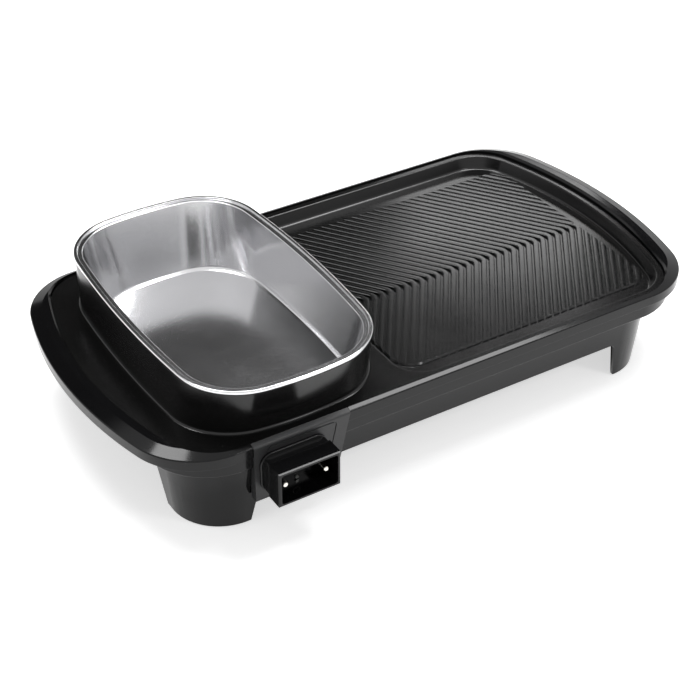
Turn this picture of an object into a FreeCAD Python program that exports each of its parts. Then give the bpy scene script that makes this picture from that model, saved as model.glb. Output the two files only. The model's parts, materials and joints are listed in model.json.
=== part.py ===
import FreeCAD, Part
import math
import os
from FreeCAD import Vector

# Electric teppanyaki grill with a hot pot beside the ribbed plate, in millimetres.
# +X runs along the grill away from the pot, +Y away from the power inlet and +Z up.
# The outlines are drawn about the middle of the frame. All is then moved along Y, so that the
# origin lies on the table under the middle of the whole grill with its inlet.

os.makedirs("parts", exist_ok=True)

# Overall outline, seen from above
half_length = 284.5
half_depth = 153.0
end_radius = 396.0
corner_radius = 65.0

# Heights above the table
pad_proud = 1.0
shell_floor_z = 40.0
shelf_z = 63.0
parting_z = 75.5
lip_top_z = 85.0
ridge_z = 88.8
flange_top_z = 84.5
jacket_top_z = 128.4
pot_rim_z = 131.7

# General clearances
lift_gap = 0.4
seat_gap = 0.2
fit_gap = 0.1

# How far a cutter reaches past a face, how deep a boss or a rib is sunk into the wall that bears
# it, and how near to a place an edge counts as lying there
cut_past = 1.0
boss_sink = 0.5
touch = 0.01

# Upper frame, the moulding that carries the handles
lip_wall = 2.5
handle_bevel = 11.0
opening_end = 19.5
opening_side = 4.1
opening_corner = 45.0
opening_bevel = 1.6
opening_bevel_drop = 2.2
ledge_width = 3.0
frame_skin = 3.0
inner_wall = 2.5
frame_boss_r = 3.5
frame_boss_rise = 1.0
frame_boss_side_y = 75.0
lip_fillet = 1.4

# Lower shell, a stepped tub
shell_wall = 2.5
shell_inset_end = 11.5
shell_inset_side = 1.5
shell_corner = 60.0
tongue_height = 3.2
tub_end_left = 38.0
tub_end_right = 54.0
tub_side = 4.0
tub_lean_left = 6.5
tub_lean_right = 3.0
tub_lean_side = 9.0
tub_corner_top = 50.0
tub_corner_foot = 45.0
vent_count = 9
vent_width = 5.0
vent_length = 64.0
vent_pitch = 22.0

# Legs and foot pads
leg_span_left = 48.0
leg_span_right = 45.5
leg_span_y = 53.5
leg_flare = 7.0
leg_wall = 3.0
leg_floor = 3.5
leg_web_r = 7.0
leg_boss_r = 4.2
leg_screw_length = 14.0
pad_r = 5.0
pad_thick = 2.5
pad_inset_x = 18.5
pad_inset_y = 20.0

# Cooking plate, one casting with the grill well and the pot jacket
flange_thick = 3.0
well_end = 7.0
well_side = 7.4
well_from_pot = 99.5
well_corner_right = 40.0
well_corner_left = 28.0
well_depth = 12.0
well_slope = 4.0
casting_wall = 2.5
well_floor_thick = 4.0

# Chevron ribs on the grill floor
rib_pitch = 8.5
rib_width = 5.5
rib_height = 2.0
rib_half_angle = 55.0
rib_apex_y = -10.0
rib_apex_r = 9.0
rib_margin_left = 10.0
rib_margin_right = 20.0
rib_margin_side = 24.5
rib_zone_corner = 20.0

# Pot jacket and the pot that drops into it
pot_from_end = 124.0
pot_side_r = 1000.0
pot_front_r = 290.0
pot_corner = 58.0
rim_half_x = 90.5
rim_from_side = 0.4
rim_width = 3.5
rim_round = 1.2
rim_overhang = 0.8
jacket_base_out = 2.3
jacket_base_in = 9.7
jacket_foot_in_x = 4.0
jacket_foot_in_y = 5.5
jacket_wall = 3.0
jacket_floor_z = 61.0
jacket_floor_thick = 3.5
jacket_cove = 2.5
pot_ledge_width = 4.5
pot_ledge_drop = 1.7
pot_wall = 1.0
pot_foot_in_x = 7.5
pot_foot_in_y = 7.5
pot_foot_round = 5.0
pot_base_thick = 2.5
pot_base_inset = 8.0

# Heating elements
tube_r = 3.5
pot_tube_end_in = 41.0
pot_loop_margin_x = 36.0
pot_loop_front_margin = 51.0
pot_loop_back_margin = 54.0
pot_loop_bend = 17.0
pot_lead_bend = 8.5
grill_return_inset = 17.3
grill_lead_inset = 37.3
grill_turn_inset = 61.3
grill_right_inset = 60.0
grill_tube_end_inset = 23.6
grill_outer_inset = 41.6
grill_inner_y = 35.0
grill_bend = 30.0
grill_lead_bend = 17.0
terminal_r = 1.6
terminal_length = 13.0
seal_r = 3.2
seal_length = 4.0

# Element clamps and their screws
clamp_length = 31.0
clamp_width = 10.0
clamp_thick = 1.0
clamp_hole_offset = 11.0
clamp_boss_r = 3.5
clamp_screw_length = 6.0

# Screws with a pan head and a cross recess
screw_r = 1.9
screw_head_r = 3.6
screw_head_h = 2.0
screw_head_round = 0.8
recess_reach = 2.1
recess_width = 0.9
recess_depth = 1.2
frame_screw_length = 10.0
small_screw_r = 1.5
small_screw_head_r = 2.5
small_screw_head_h = 1.6

# Power inlet
inlet_offset = -18.5
inlet_z = 57.3
inlet_half_width = 28.0
inlet_half_height = 16.65
inlet_reach = 27.3
inlet_step_reach = 10.7
inlet_step = 1.0
inlet_wall = 1.6
inlet_back_wall = 4.0
inlet_chamfer = 2.0
inlet_flange_thick = 2.5
inlet_flange_margin = 2.5
inlet_flange_corner = 11.0
inlet_boss_r = 3.2
inlet_boss_height = 3.0
inlet_screw_offset = 12.0
block_half_width = 24.0
block_half_height = 8.0
block_rim = 1.2
block_rim_thick = 2.0
pin_spacing = 37.0
pin_r = 2.5
pin_drop = 1.6
pin_recess = 6.0
pin_tail_in = 25.0
pin_round = 1.2
pin_collar = 1.0
pin_collar_thick = 1.2
sleeve_r = 3.5
sleeve_bore_r = 2.7
sleeve_end_in = 43.0
sleeve_end_wall = 1.5

# Inlet panel, hung from the casting in a notch of the frame and the shell
panel_reach_left = 34.5
panel_reach_right = 53.0
panel_right_lean = 0.2286
panel_foot_z = 31.0
panel_thick = 3.5
panel_proud = 1.0
panel_return = 4.0
panel_return_wall = 2.0
panel_tab_thick = 3.0
panel_tab_depth = 11.5
panel_tab_width = 14.0
panel_screw_in = 10.0
panel_screw_inset = 12.0
panel_screw_cover = 0.6
groove_inset = 11.2
groove_foot_z = 36.0
groove_top_z = 82.0
groove_corner = 5.0
groove_width = 1.0
groove_depth = 0.6

# Conductors
strap_width = 5.0
strap_thick = 1.0
strap_z = 50.5
strap_eye_r = 3.5
live_strap_in = 12.0
neutral_strap_in = 18.5
strap_riser_in = 25.5
earth_width = 8.0
earth_thick = 1.0
earth_plate_in = 5.1
earth_eye_r = 5.2
earth_reach = 14.0
earth_leg_end_in = 34.0
earth_screw_in = 29.0
earth_boss_r = 4.5
earth_boss_height = 3.0

# Heat reflector
reflector_thick = 0.8
reflector_lift = 3.0
reflector_gap = 5.0
reflector_lip = 2.0
reflector_boss_r = 5.0
reflector_boss_inset_left = 25.0
reflector_boss_inset_right = 31.0
reflector_boss_inset_y = 43.5
reflector_screw_length = 4.6

# Derived places and faces
front_y = -half_depth
inlet_face_y = front_y - inlet_reach
inlet_step_y = front_y - inlet_step_reach
pin_tail_y = front_y + pin_tail_in
sleeve_end_y = front_y + sleeve_end_in
panel_screw_y = front_y + panel_screw_in
live_strap_y = front_y + live_strap_in
neutral_strap_y = front_y + neutral_strap_in
strap_riser_y = front_y + strap_riser_in
earth_plate_y = front_y + earth_plate_in
earth_leg_end_y = front_y + earth_leg_end_in
earth_screw_y = front_y + earth_screw_in
pot_tube_end_y = front_y + pot_tube_end_in
middle_shift = -(half_depth + inlet_face_y) / 2
opening_half_length = half_length - opening_end
opening_half_depth = half_depth - opening_side
rim_half_y = opening_half_depth - rim_from_side
tub_left_top = -half_length + tub_end_left
tub_right_top = half_length - tub_end_right
tub_left_foot = tub_left_top + tub_lean_left
tub_right_foot = tub_right_top - tub_lean_right
tub_half_depth_top = half_depth - tub_side
tub_half_depth_foot = tub_half_depth_top - tub_lean_side
pot_x = -opening_half_length + pot_from_end
well_left = pot_x + well_from_pot
well_right = opening_half_length - well_end
well_half_depth = opening_half_depth - well_side
jacket_half_x_top = rim_half_x - rim_overhang
jacket_half_y_top = rim_half_y - rim_overhang
jacket_half_x_base = jacket_half_x_top + jacket_base_out
jacket_half_y_base = jacket_half_y_top - jacket_base_in
jacket_half_x_foot = jacket_half_x_base - jacket_foot_in_x
jacket_half_y_foot = jacket_half_y_base - jacket_foot_in_y
pot_foot_half_x = jacket_half_x_foot - pot_foot_in_x
pot_foot_half_y = jacket_half_y_foot - pot_foot_in_y
pot_ledge_z = pot_rim_z - pot_ledge_drop
pot_loop_half_x = rim_half_x - pot_loop_margin_x
pot_loop_front_y = -jacket_half_y_base + pot_loop_front_margin
pot_loop_back_y = jacket_half_y_base - pot_loop_back_margin
grill_return_x = well_left + grill_return_inset
grill_lead_x = well_left + grill_lead_inset
grill_turn_x = well_left + grill_turn_inset
grill_right_x = well_right - grill_right_inset
grill_tube_end_y = -well_half_depth + grill_tube_end_inset
grill_outer_y = well_half_depth - grill_outer_inset
inlet_x = pot_x + inlet_offset
pin_z = inlet_z - pin_drop
pin_tip_y = inlet_face_y + pin_recess
panel_left = inlet_x - panel_reach_left
panel_right_top = inlet_x + panel_reach_right
earth_leg_right = inlet_x + earth_reach
reflector_boss_xs = (tub_left_foot + reflector_boss_inset_left, 0.0,
                     tub_right_foot - reflector_boss_inset_right)
reflector_boss_y = tub_half_depth_foot - reflector_boss_inset_y
frame_under_z = parting_z + tongue_height + seat_gap
handle_under_z = lip_top_z - frame_skin
plate_seat_z = flange_top_z - flange_thick
well_floor_z = flange_top_z - well_depth
well_under_z = well_floor_z - well_floor_thick
jacket_floor_top_z = jacket_floor_z + jacket_floor_thick
pot_foot_z = jacket_floor_top_z + pot_base_thick
rim_under_z = jacket_top_z + lift_gap
shell_floor_top_z = shell_floor_z + shell_wall
reflector_z = shell_floor_top_z + reflector_lift
pot_element_z = jacket_floor_z - seat_gap - tube_r
grill_element_z = well_under_z - seat_gap - tube_r
panel_front_y = front_y - panel_proud
panel_back_y = panel_front_y + panel_thick
block_face_y = panel_front_y - inlet_back_wall
block_back_y = panel_back_y + block_rim_thick


class Outline:
    """A rounded rectangle about y = 0 whose ends and sides may bow outwards."""

    def __init__(self, left, right, half_y, corner_left, corner_right,
                 left_r=None, right_r=None, side_r=None):
        self.left = left
        self.right = right
        self.half_y = half_y
        self.corner_left = corner_left
        self.corner_right = corner_right
        self.left_r = left_r
        self.right_r = right_r
        self.side_r = side_r

    def corner(self, end_x, end_r, corner_r, inset, sign):
        """Centre of the back corner arc and its tangent points on the end and the side."""
        middle = (self.left + self.right) / 2
        reach = sign * (end_x - middle) - inset
        half_y = self.half_y - inset
        radius = corner_r - inset
        end_centre = None if end_r is None else (reach - (end_r - inset), 0.0)
        side_centre = None if self.side_r is None else (0.0, half_y - (self.side_r - inset))
        if end_centre is None and side_centre is None:
            centre = (reach - radius, half_y - radius)
        elif side_centre is None:
            gap = end_r - inset - radius
            centre = (end_centre[0] + math.sqrt(gap ** 2 - (half_y - radius) ** 2), half_y - radius)
        elif end_centre is None:
            gap = self.side_r - inset - radius
            centre = (reach - radius, side_centre[1] + math.sqrt(gap ** 2 - (reach - radius) ** 2))
        else:
            centre = meet(end_centre, end_r - inset - radius, side_centre, self.side_r - inset - radius)
        on_end = (reach, centre[1])
        if end_centre is not None:
            on_end = beyond(end_centre, centre, end_r - inset)
        on_side = (centre[0], half_y)
        if side_centre is not None:
            on_side = beyond(side_centre, centre, self.side_r - inset)
        towards = ((on_end[0] + on_side[0]) / 2, (on_end[1] + on_side[1]) / 2)
        bulge = beyond(centre, towards, radius)
        place = [(middle + sign * x, y) for x, y in (on_end, bulge, on_side)]
        return place

    def wire(self, z, inset=0.0):
        """The outline at height z, drawn in by inset."""
        middle = (self.left + self.right) / 2
        right = self.corner(self.right, self.right_r, self.corner_right, inset, 1)
        left = self.corner(self.left, self.left_r, self.corner_left, inset, -1)

        def at(point, mirror=1):
            return Vector(point[0], mirror * point[1], z)

        def span(first, last, through, curved):
            if curved:
                return Part.Arc(first, through, last).toShape()
            return Part.LineSegment(first, last).toShape()

        half_y = self.half_y - inset
        edges = [
            span(at(right[0], -1), at(right[0]), Vector(self.right - inset, 0, z), self.right_r),
            Part.Arc(at(right[0]), at(right[1]), at(right[2])).toShape(),
            span(at(right[2]), at(left[2]), Vector(middle, half_y, z), self.side_r),
            Part.Arc(at(left[2]), at(left[1]), at(left[0])).toShape(),
            span(at(left[0]), at(left[0], -1), Vector(self.left + inset, 0, z), self.left_r),
            Part.Arc(at(left[0], -1), at(left[1], -1), at(left[2], -1)).toShape(),
            span(at(left[2], -1), at(right[2], -1), Vector(middle, -half_y, z), self.side_r),
            Part.Arc(at(right[2], -1), at(right[1], -1), at(right[0], -1)).toShape(),
        ]
        return Part.Wire(edges)

    def prism(self, z0, z1, inset=0.0):
        """The outline stood up straight between two heights."""
        return Part.Face(self.wire(z0, inset)).extrude(Vector(0, 0, z1 - z0))


def meet(a, reach_a, b, reach_b):
    """The point at reach_a from a and reach_b from b that lies away from both axes."""
    dx = b[0] - a[0]
    dy = b[1] - a[1]
    apart = math.hypot(dx, dy)
    along = (reach_a ** 2 - reach_b ** 2 + apart ** 2) / (2 * apart)
    across = math.sqrt(reach_a ** 2 - along ** 2)
    foot = (a[0] + along * dx / apart, a[1] + along * dy / apart)
    choices = [(foot[0] + side * across * dy / apart, foot[1] - side * across * dx / apart)
               for side in (1, -1)]
    return max(choices, key=lambda point: point[0] + point[1])


def beyond(start, through, reach):
    """The point at reach from start on the ray that passes through a second point."""
    dx = through[0] - start[0]
    dy = through[1] - start[1]
    scale = reach / math.hypot(dx, dy)
    return (start[0] + dx * scale, start[1] + dy * scale)


def taper(*wires):
    """A solid with straight flanks through wires that lie one above the other."""
    return Part.makeLoft(list(wires), True, True)


def lies_at(edge, z):
    """Whether an edge lies wholly at one height."""
    return abs(edge.BoundBox.ZMin - z) < touch and abs(edge.BoundBox.ZMax - z) < touch


def box(x0, x1, y0, y1, z0, z1):
    return Part.makeBox(x1 - x0, y1 - y0, z1 - z0, Vector(x0, y0, z0))


def post(x, y, z0, z1, radius):
    return Part.makeCylinder(radius, z1 - z0, Vector(x, y, z0))


def rod(x, z, y0, y1, radius):
    return Part.makeCylinder(radius, y1 - y0, Vector(x, y0, z), Vector(0, 1, 0))


def fuse(first, *others):
    shape = first.fuse(list(others)) if others else first
    return shape.removeSplitter()


def screw(x, y, z, way, length, shank_r=screw_r, head_r=screw_head_r, head_h=screw_head_h):
    """A pan-head screw whose head sits at a point and whose shank points along way."""
    head = Part.makeCylinder(head_r, head_h, Vector(0, 0, -head_h))
    face_edge = [edge for edge in head.Edges
                 if edge.BoundBox.ZMax < -head_h / 2 and len(edge.Vertexes) == 1]
    head = head.makeFillet(screw_head_round, face_edge)
    reach = recess_reach * head_r / screw_head_r
    half = recess_width / 2
    recess = box(-reach, reach, -half, half, -head_h, recess_depth - head_h)
    recess = recess.fuse(box(-half, half, -reach, reach, -head_h, recess_depth - head_h))
    shape = head.fuse(Part.makeCylinder(shank_r, length)).cut(recess).removeSplitter()
    shape.Placement = FreeCAD.Placement(Vector(x, y, z), FreeCAD.Rotation(Vector(0, 0, 1), way))
    return shape


def bent_tube(points, bends, z, radius):
    """A tube along level runs that turn through arcs, each bend with its own radius."""
    corners = [Vector(x, y, z) for x, y in points]
    edges = []
    start = corners[0]
    for corner, following, bend in zip(corners[1:-1], corners[2:], bends):
        inward = (start - corner).normalize()
        outward = (following - corner).normalize()
        first = corner + inward * bend
        last = corner + outward * bend
        centre = corner + (inward + outward) * bend
        bulge = centre + (corner - centre).normalize() * bend
        edges.append(Part.LineSegment(start, first).toShape())
        edges.append(Part.Arc(first, bulge, last).toShape())
        start = last
    edges.append(Part.LineSegment(start, corners[-1]).toShape())
    path = Part.Wire(edges)
    heading = (edges[0].Vertexes[-1].Point - edges[0].Vertexes[0].Point).normalize()
    section = Part.Wire(Part.makeCircle(radius, corners[0], heading))
    return path.makePipeShell([section], True, False)


def frame_outline():
    return Outline(-half_length, half_length, half_depth, corner_radius, corner_radius,
                   end_radius, end_radius)


def opening_outline():
    bow = end_radius - (half_length - opening_half_length)
    return Outline(-opening_half_length, opening_half_length, opening_half_depth,
                   opening_corner, opening_corner, bow, bow)


def shell_outline():
    bow = end_radius - shell_inset_end
    reach = half_length - shell_inset_end
    return Outline(-reach, reach, half_depth - shell_inset_side, shell_corner, shell_corner, bow, bow)


def tub_outline(z):
    """Outline of the deep part of the shell and of the legs, which lean in towards the table."""
    share = z / shelf_z
    return Outline(
        tub_left_foot + (tub_left_top - tub_left_foot) * share,
        tub_right_foot + (tub_right_top - tub_right_foot) * share,
        tub_half_depth_foot + (tub_half_depth_top - tub_half_depth_foot) * share,
        tub_corner_foot + (tub_corner_top - tub_corner_foot) * share,
        tub_corner_foot + (tub_corner_top - tub_corner_foot) * share)


def tub_taper(z0, z1, inset=0.0):
    return taper(tub_outline(z0).wire(z0, inset), tub_outline(z1).wire(z1, inset))


def grill_well_outline():
    bow = end_radius - (half_length - well_right)
    return Outline(well_left, well_right, well_half_depth, well_corner_left, well_corner_right,
                   None, bow)


def pot_outline(half_x, half_y):
    return Outline(pot_x - half_x, pot_x + half_x, half_y, pot_corner, pot_corner,
                   pot_side_r, pot_side_r, pot_front_r)


def frame_boss_places():
    """Centres of the six bosses in the handles, on the curve of the opening."""
    bow = end_radius - (half_length - opening_half_length)
    reach = opening_half_length + opening_bevel
    places = []
    for side in (-1, 1):
        for y in (-frame_boss_side_y, 0.0, frame_boss_side_y):
            x = reach - bow + math.sqrt(bow ** 2 - y ** 2)
            places.append((side * x, y))
    return places


def notch(z0, z1, y0, y1, gap):
    """The gap in the frame and the shell that the inlet panel hangs in."""
    def right(z):
        return panel_right_top - panel_right_lean * (flange_top_z - z) + gap
    corners = [Vector(panel_left - gap, y0, z0), Vector(right(z0), y0, z0),
               Vector(right(z1), y0, z1), Vector(panel_left - gap, y0, z1),
               Vector(panel_left - gap, y0, z0)]
    return Part.Face(Part.makePolygon(corners)).extrude(Vector(0, y1 - y0, 0))


def top_frame():
    """Upper moulding: a lip all round, a crowned handle at each end, a ledge for the casting."""
    outer = frame_outline()
    opening = opening_outline()
    crown = taper(outer.wire(lip_top_z), outer.wire(ridge_z, handle_bevel))
    shape = outer.prism(parting_z, lip_top_z).fuse(crown).removeSplitter()
    shape = shape.makeFillet(lip_fillet, [edge for edge in shape.Edges if lies_at(edge, lip_top_z)])
    hollow = outer.prism(frame_under_z, handle_under_z, lip_wall)
    hollow = hollow.fuse(taper(outer.wire(handle_under_z, lip_wall),
                               outer.wire(ridge_z - frame_skin, lip_wall + handle_bevel)))
    shape = shape.cut(hollow.cut(opening.prism(parting_z, ridge_z, -inner_wall)))
    shape = shape.cut(outer.prism(parting_z - cut_past, frame_under_z, lip_wall))
    shape = shape.fuse([post(x, y, shelf_z + shell_wall, handle_under_z + frame_boss_rise, frame_boss_r)
                        for x, y in frame_boss_places()])
    kept = [post(x, y, parting_z - 2 * cut_past, plate_seat_z, frame_boss_r)
            for x, y in frame_boss_places()]
    through = opening.prism(parting_z - cut_past, ridge_z + cut_past, ledge_width)
    shape = shape.cut(through.cut(Part.makeCompound(kept)))
    shape = shape.cut(opening.prism(plate_seat_z, ridge_z + cut_past))
    bevel = taper(opening.wire(ridge_z - opening_bevel_drop), opening.wire(ridge_z, -opening_bevel))
    shape = shape.cut(bevel)
    for x, y in frame_boss_places():
        shape = shape.cut(post(x, y, shelf_z, shelf_z + frame_screw_length + fit_gap, screw_r + fit_gap))
    reach = -opening_half_depth + ledge_width + cut_past
    gap = notch(shelf_z, ridge_z + cut_past, front_y - cut_past, reach, lift_gap)
    return shape.cut(gap).removeSplitter()


def lower_shell():
    """Stepped tub: a shelf under the handles and a deep middle that holds the heating parts."""
    outer = shell_outline()
    top_z = parting_z + tongue_height
    shape = outer.prism(shelf_z, top_z)
    rebate = frame_outline().prism(parting_z - seat_gap, top_z + cut_past, lip_wall + fit_gap)
    shape = shape.cut(outer.prism(parting_z - seat_gap, top_z + cut_past, -cut_past).cut(rebate))
    shape = shape.fuse(tub_taper(shell_floor_z, shelf_z))
    shape = shape.cut(outer.prism(shelf_z + shell_wall, top_z + cut_past, shell_wall))
    shape = shape.cut(tub_taper(shell_floor_top_z, shelf_z + shell_wall, shell_wall))
    shape = fuse(shape, *[post(x, y, shell_floor_top_z, reflector_z, reflector_boss_r)
                          for x, y in reflector_screw_places()])
    holes = [post(x, y, shelf_z - cut_past, shelf_z + shell_wall + cut_past, screw_r + seat_gap)
             for x, y in frame_boss_places()]
    holes += [post(x, y, shell_floor_z - cut_past, shell_floor_top_z + cut_past, screw_r + seat_gap)
              for x, y in leg_screw_places()]
    holes += [post(x, y, shell_floor_top_z - cut_past, reflector_z + cut_past, screw_r + fit_gap)
              for x, y in reflector_screw_places()]
    shape = shape.cut(holes + vent_slots())
    return shape.cut(notch(shell_floor_top_z, top_z + cut_past, front_y - cut_past,
                           -tub_half_depth_foot, lift_gap))


def vent_slots():
    """Two rows of slots with round ends through the floor of the tub."""
    slots = []
    low = shell_floor_z - cut_past
    high = shell_floor_top_z + cut_past
    for index in range(vent_count):
        x = (index - (vent_count - 1) / 2) * vent_pitch
        for side in (-1, 1):
            y = side * (vent_length / 2 + vent_width)
            run = vent_length / 2 - vent_width / 2
            slots.append(fuse(
                box(x - vent_width / 2, x + vent_width / 2, y - run, y + run, low, high),
                post(x, y - run, low, high, vent_width / 2),
                post(x, y + run, low, high, vent_width / 2)))
    return slots


def leg_screw_places():
    """Centres of the foot pads and of the screws that hold the legs."""
    x_left = tub_left_foot + pad_inset_x
    x_right = tub_right_foot - pad_inset_x
    y = tub_half_depth_foot - pad_inset_y
    return [(x, side * y) for x in (x_left, x_right) for side in (-1, 1)]


def reflector_screw_places():
    return [(x, side * reflector_boss_y) for x in reflector_boss_xs for side in (-1, 1)]


def leg(end, side):
    """One hollow corner leg that widens upwards. end is -1 at the pot, side is -1 at the inlet."""
    span = leg_span_left if end < 0 else leg_span_right
    foot_x = tub_left_foot if end < 0 else tub_right_foot
    foot_y = side * tub_half_depth_foot
    far_x = end * 2 * half_length
    far_y = side * 2 * half_depth
    flare_y = leg_flare * (leg_span_y - leg_wall) / (span - leg_wall)

    def inner(z):
        """Where the leg ends along each wall at height z."""
        share = (z - pad_proud) / (shell_floor_z - pad_proud)
        return (foot_x - end * (span + leg_flare * share),
                foot_y - side * (leg_span_y + flare_y * share))

    def plan(z):
        """Plan of the leg at height z, cut off along a slant and open outwards."""
        inner_x, inner_y = inner(z)
        slant = [(far_x, inner_y), (foot_x - end * leg_wall, inner_y),
                 (inner_x, foot_y - side * leg_wall), (inner_x, far_y)]
        return Part.makePolygon([Vector(x, y, z) for x, y in slant + [(far_x, far_y), slant[0]]])

    web_z = shell_floor_z - leg_web_r
    inner_x, inner_y = inner(web_z)
    xs = sorted((inner_x, inner_x - end * leg_web_r))
    ys = sorted((foot_y - side * leg_wall, far_y))
    web_x = box(xs[0], xs[1], ys[0], ys[1], web_z, shell_floor_z)
    web_x = web_x.cut(rod(inner_x - end * leg_web_r, web_z, ys[0], ys[1], leg_web_r))
    xs = sorted((foot_x - end * leg_wall, far_x))
    ys = sorted((inner_y, inner_y - side * leg_web_r))
    web_y = box(xs[0], xs[1], ys[0], ys[1], web_z, shell_floor_z)
    web_y = web_y.cut(Part.makeCylinder(
        leg_web_r, xs[1] - xs[0], Vector(xs[0], inner_y - side * leg_web_r, web_z), Vector(1, 0, 0)))
    column = taper(plan(pad_proud), plan(shell_floor_z))
    outside = tub_taper(pad_proud, shell_floor_z)
    hollow = tub_taper(pad_proud, shell_floor_z, leg_wall).common(
        box(-half_length, half_length, -half_depth, half_depth, pad_proud + leg_floor, shell_floor_z))
    shape = fuse(*[piece.common(outside).cut(hollow) for piece in (column, web_x, web_y)])
    centre_x = foot_x - end * pad_inset_x
    centre_y = foot_y - side * pad_inset_y
    shape = fuse(shape, post(centre_x, centre_y, pad_proud + leg_floor, shell_floor_z, leg_boss_r))
    shank = leg_screw_length - shell_wall + fit_gap
    shape = shape.cut(post(centre_x, centre_y, shell_floor_z - shank, shell_floor_z, screw_r + fit_gap))
    return shape.cut(post(centre_x, centre_y, 0, pad_thick, pad_r + fit_gap)).removeSplitter()


def foot_pads():
    return Part.makeCompound([post(x, y, 0, pad_thick, pad_r) for x, y in leg_screw_places()])


def leg_screws():
    return Part.makeCompound([screw(x, y, shell_floor_top_z, Vector(0, 0, -1), leg_screw_length)
                              for x, y in leg_screw_places()])


def frame_screws():
    return Part.makeCompound([screw(x, y, shelf_z, Vector(0, 0, 1), frame_screw_length)
                              for x, y in frame_boss_places()])


def heat_reflector():
    """Bright tray over the floor of the tub that sends the heat back up."""
    reach = shell_wall + reflector_gap
    outline = tub_outline(shell_floor_top_z)
    top_z = reflector_z + reflector_thick + reflector_lip
    shape = outline.prism(reflector_z, top_z, reach)
    shape = shape.cut(outline.prism(reflector_z + reflector_thick, top_z + cut_past,
                                    reach + reflector_thick))
    return shape.cut([post(x, y, reflector_z - cut_past, top_z, screw_r + seat_gap)
                      for x, y in reflector_screw_places()])


def reflector_screws():
    seat_z = reflector_z + reflector_thick
    return Part.makeCompound([screw(x, y, seat_z, Vector(0, 0, -1), reflector_screw_length)
                              for x, y in reflector_screw_places()])


def jacket_outline(z):
    """Outline of the outside of the pot jacket at height z."""
    if z > flange_top_z:
        share = (z - flange_top_z) / (jacket_top_z - flange_top_z)
        low = (jacket_half_x_base, jacket_half_y_base)
        high = (jacket_half_x_top, jacket_half_y_top)
    else:
        share = (z - jacket_floor_z) / (flange_top_z - jacket_floor_z)
        low = (jacket_half_x_foot, jacket_half_y_foot)
        high = (jacket_half_x_base, jacket_half_y_base)
    return pot_outline(low[0] + (high[0] - low[0]) * share, low[1] + (high[1] - low[1]) * share)


def jacket_taper(z0, z1, inset=0.0):
    return taper(jacket_outline(z0).wire(z0, inset), jacket_outline(z1).wire(z1, inset))


def grill_well_taper(z0, z1, grow):
    """The inside of the grill well between two heights, grown by grow."""
    well = grill_well_outline()

    def inset(z):
        return well_slope * (flange_top_z - z) / well_depth - grow
    return taper(well.wire(z0, inset(z0)), well.wire(z1, inset(z1)))


def chevron(apex_x):
    """One V-shaped rib with a round apex that points along +X."""
    angle = math.radians(rib_half_angle)
    centre = Vector(apex_x - rib_apex_r, rib_apex_y, well_floor_z - boss_sink)
    length = 2 * well_half_depth

    def points(radius):
        arms = []
        for side in (-1, 1):
            root = centre + Vector(math.sin(angle), side * math.cos(angle), 0) * radius
            arms.append((root, root + Vector(-math.cos(angle), side * math.sin(angle), 0) * length))
        return arms

    outer = points(rib_apex_r + rib_width / 2)
    inner = points(rib_apex_r - rib_width / 2)
    tip = Vector(1, 0, 0)
    edges = [
        Part.LineSegment(outer[0][1], outer[0][0]).toShape(),
        Part.Arc(outer[0][0], centre + tip * (rib_apex_r + rib_width / 2), outer[1][0]).toShape(),
        Part.LineSegment(outer[1][0], outer[1][1]).toShape(),
        Part.LineSegment(outer[1][1], inner[1][1]).toShape(),
        Part.LineSegment(inner[1][1], inner[1][0]).toShape(),
        Part.Arc(inner[1][0], centre + tip * (rib_apex_r - rib_width / 2), inner[0][0]).toShape(),
        Part.LineSegment(inner[0][0], inner[0][1]).toShape(),
        Part.LineSegment(inner[0][1], outer[0][1]).toShape(),
    ]
    return Part.Face(Part.Wire(edges)).extrude(Vector(0, 0, rib_height + boss_sink))


def ribs():
    """All chevrons of the grill floor, trimmed to the ribbed zone."""
    zone = Outline(well_left + rib_margin_left, well_right - rib_margin_right,
                   well_half_depth - rib_margin_side, rib_zone_corner, rib_zone_corner)
    field = zone.prism(well_floor_z - cut_past, well_floor_z + rib_height + cut_past)
    fall = zone.half_y / math.tan(math.radians(rib_half_angle))
    count = int((zone.right - zone.left + fall) / rib_pitch) + 1
    chevrons = [chevron(zone.left + rib_pitch * (index + 0.5)) for index in range(count)]
    return [solid for rib in chevrons for solid in rib.common(field).Solids]


def clamp_places():
    """Places where a clamp crosses an element, with its underside and its run."""
    pot_z = pot_element_z - tube_r - seat_gap
    grill_z = grill_element_z - tube_r - seat_gap
    straight_x = (grill_turn_x + grill_right_x) / 2
    places = [(pot_x - pot_loop_half_x, 0.0, pot_z, "x"), (pot_x + pot_loop_half_x, 0.0, pot_z, "x"),
              (pot_x, pot_loop_back_y, pot_z, "y"), (grill_return_x, 0.0, grill_z, "x")]
    for y in (grill_inner_y, grill_outer_y):
        places += [(straight_x, -y, grill_z, "y"), (straight_x, y, grill_z, "y")]
    return places


def clamp_screw_places():
    """Centres of the clamp screws with the height of the top face of their clamp."""
    places = []
    for x, y, top_z, run in clamp_places():
        for side in (-1, 1):
            shift = side * clamp_hole_offset
            places.append((x + shift, y, top_z) if run == "x" else (x, y + shift, top_z))
    return places


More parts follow.
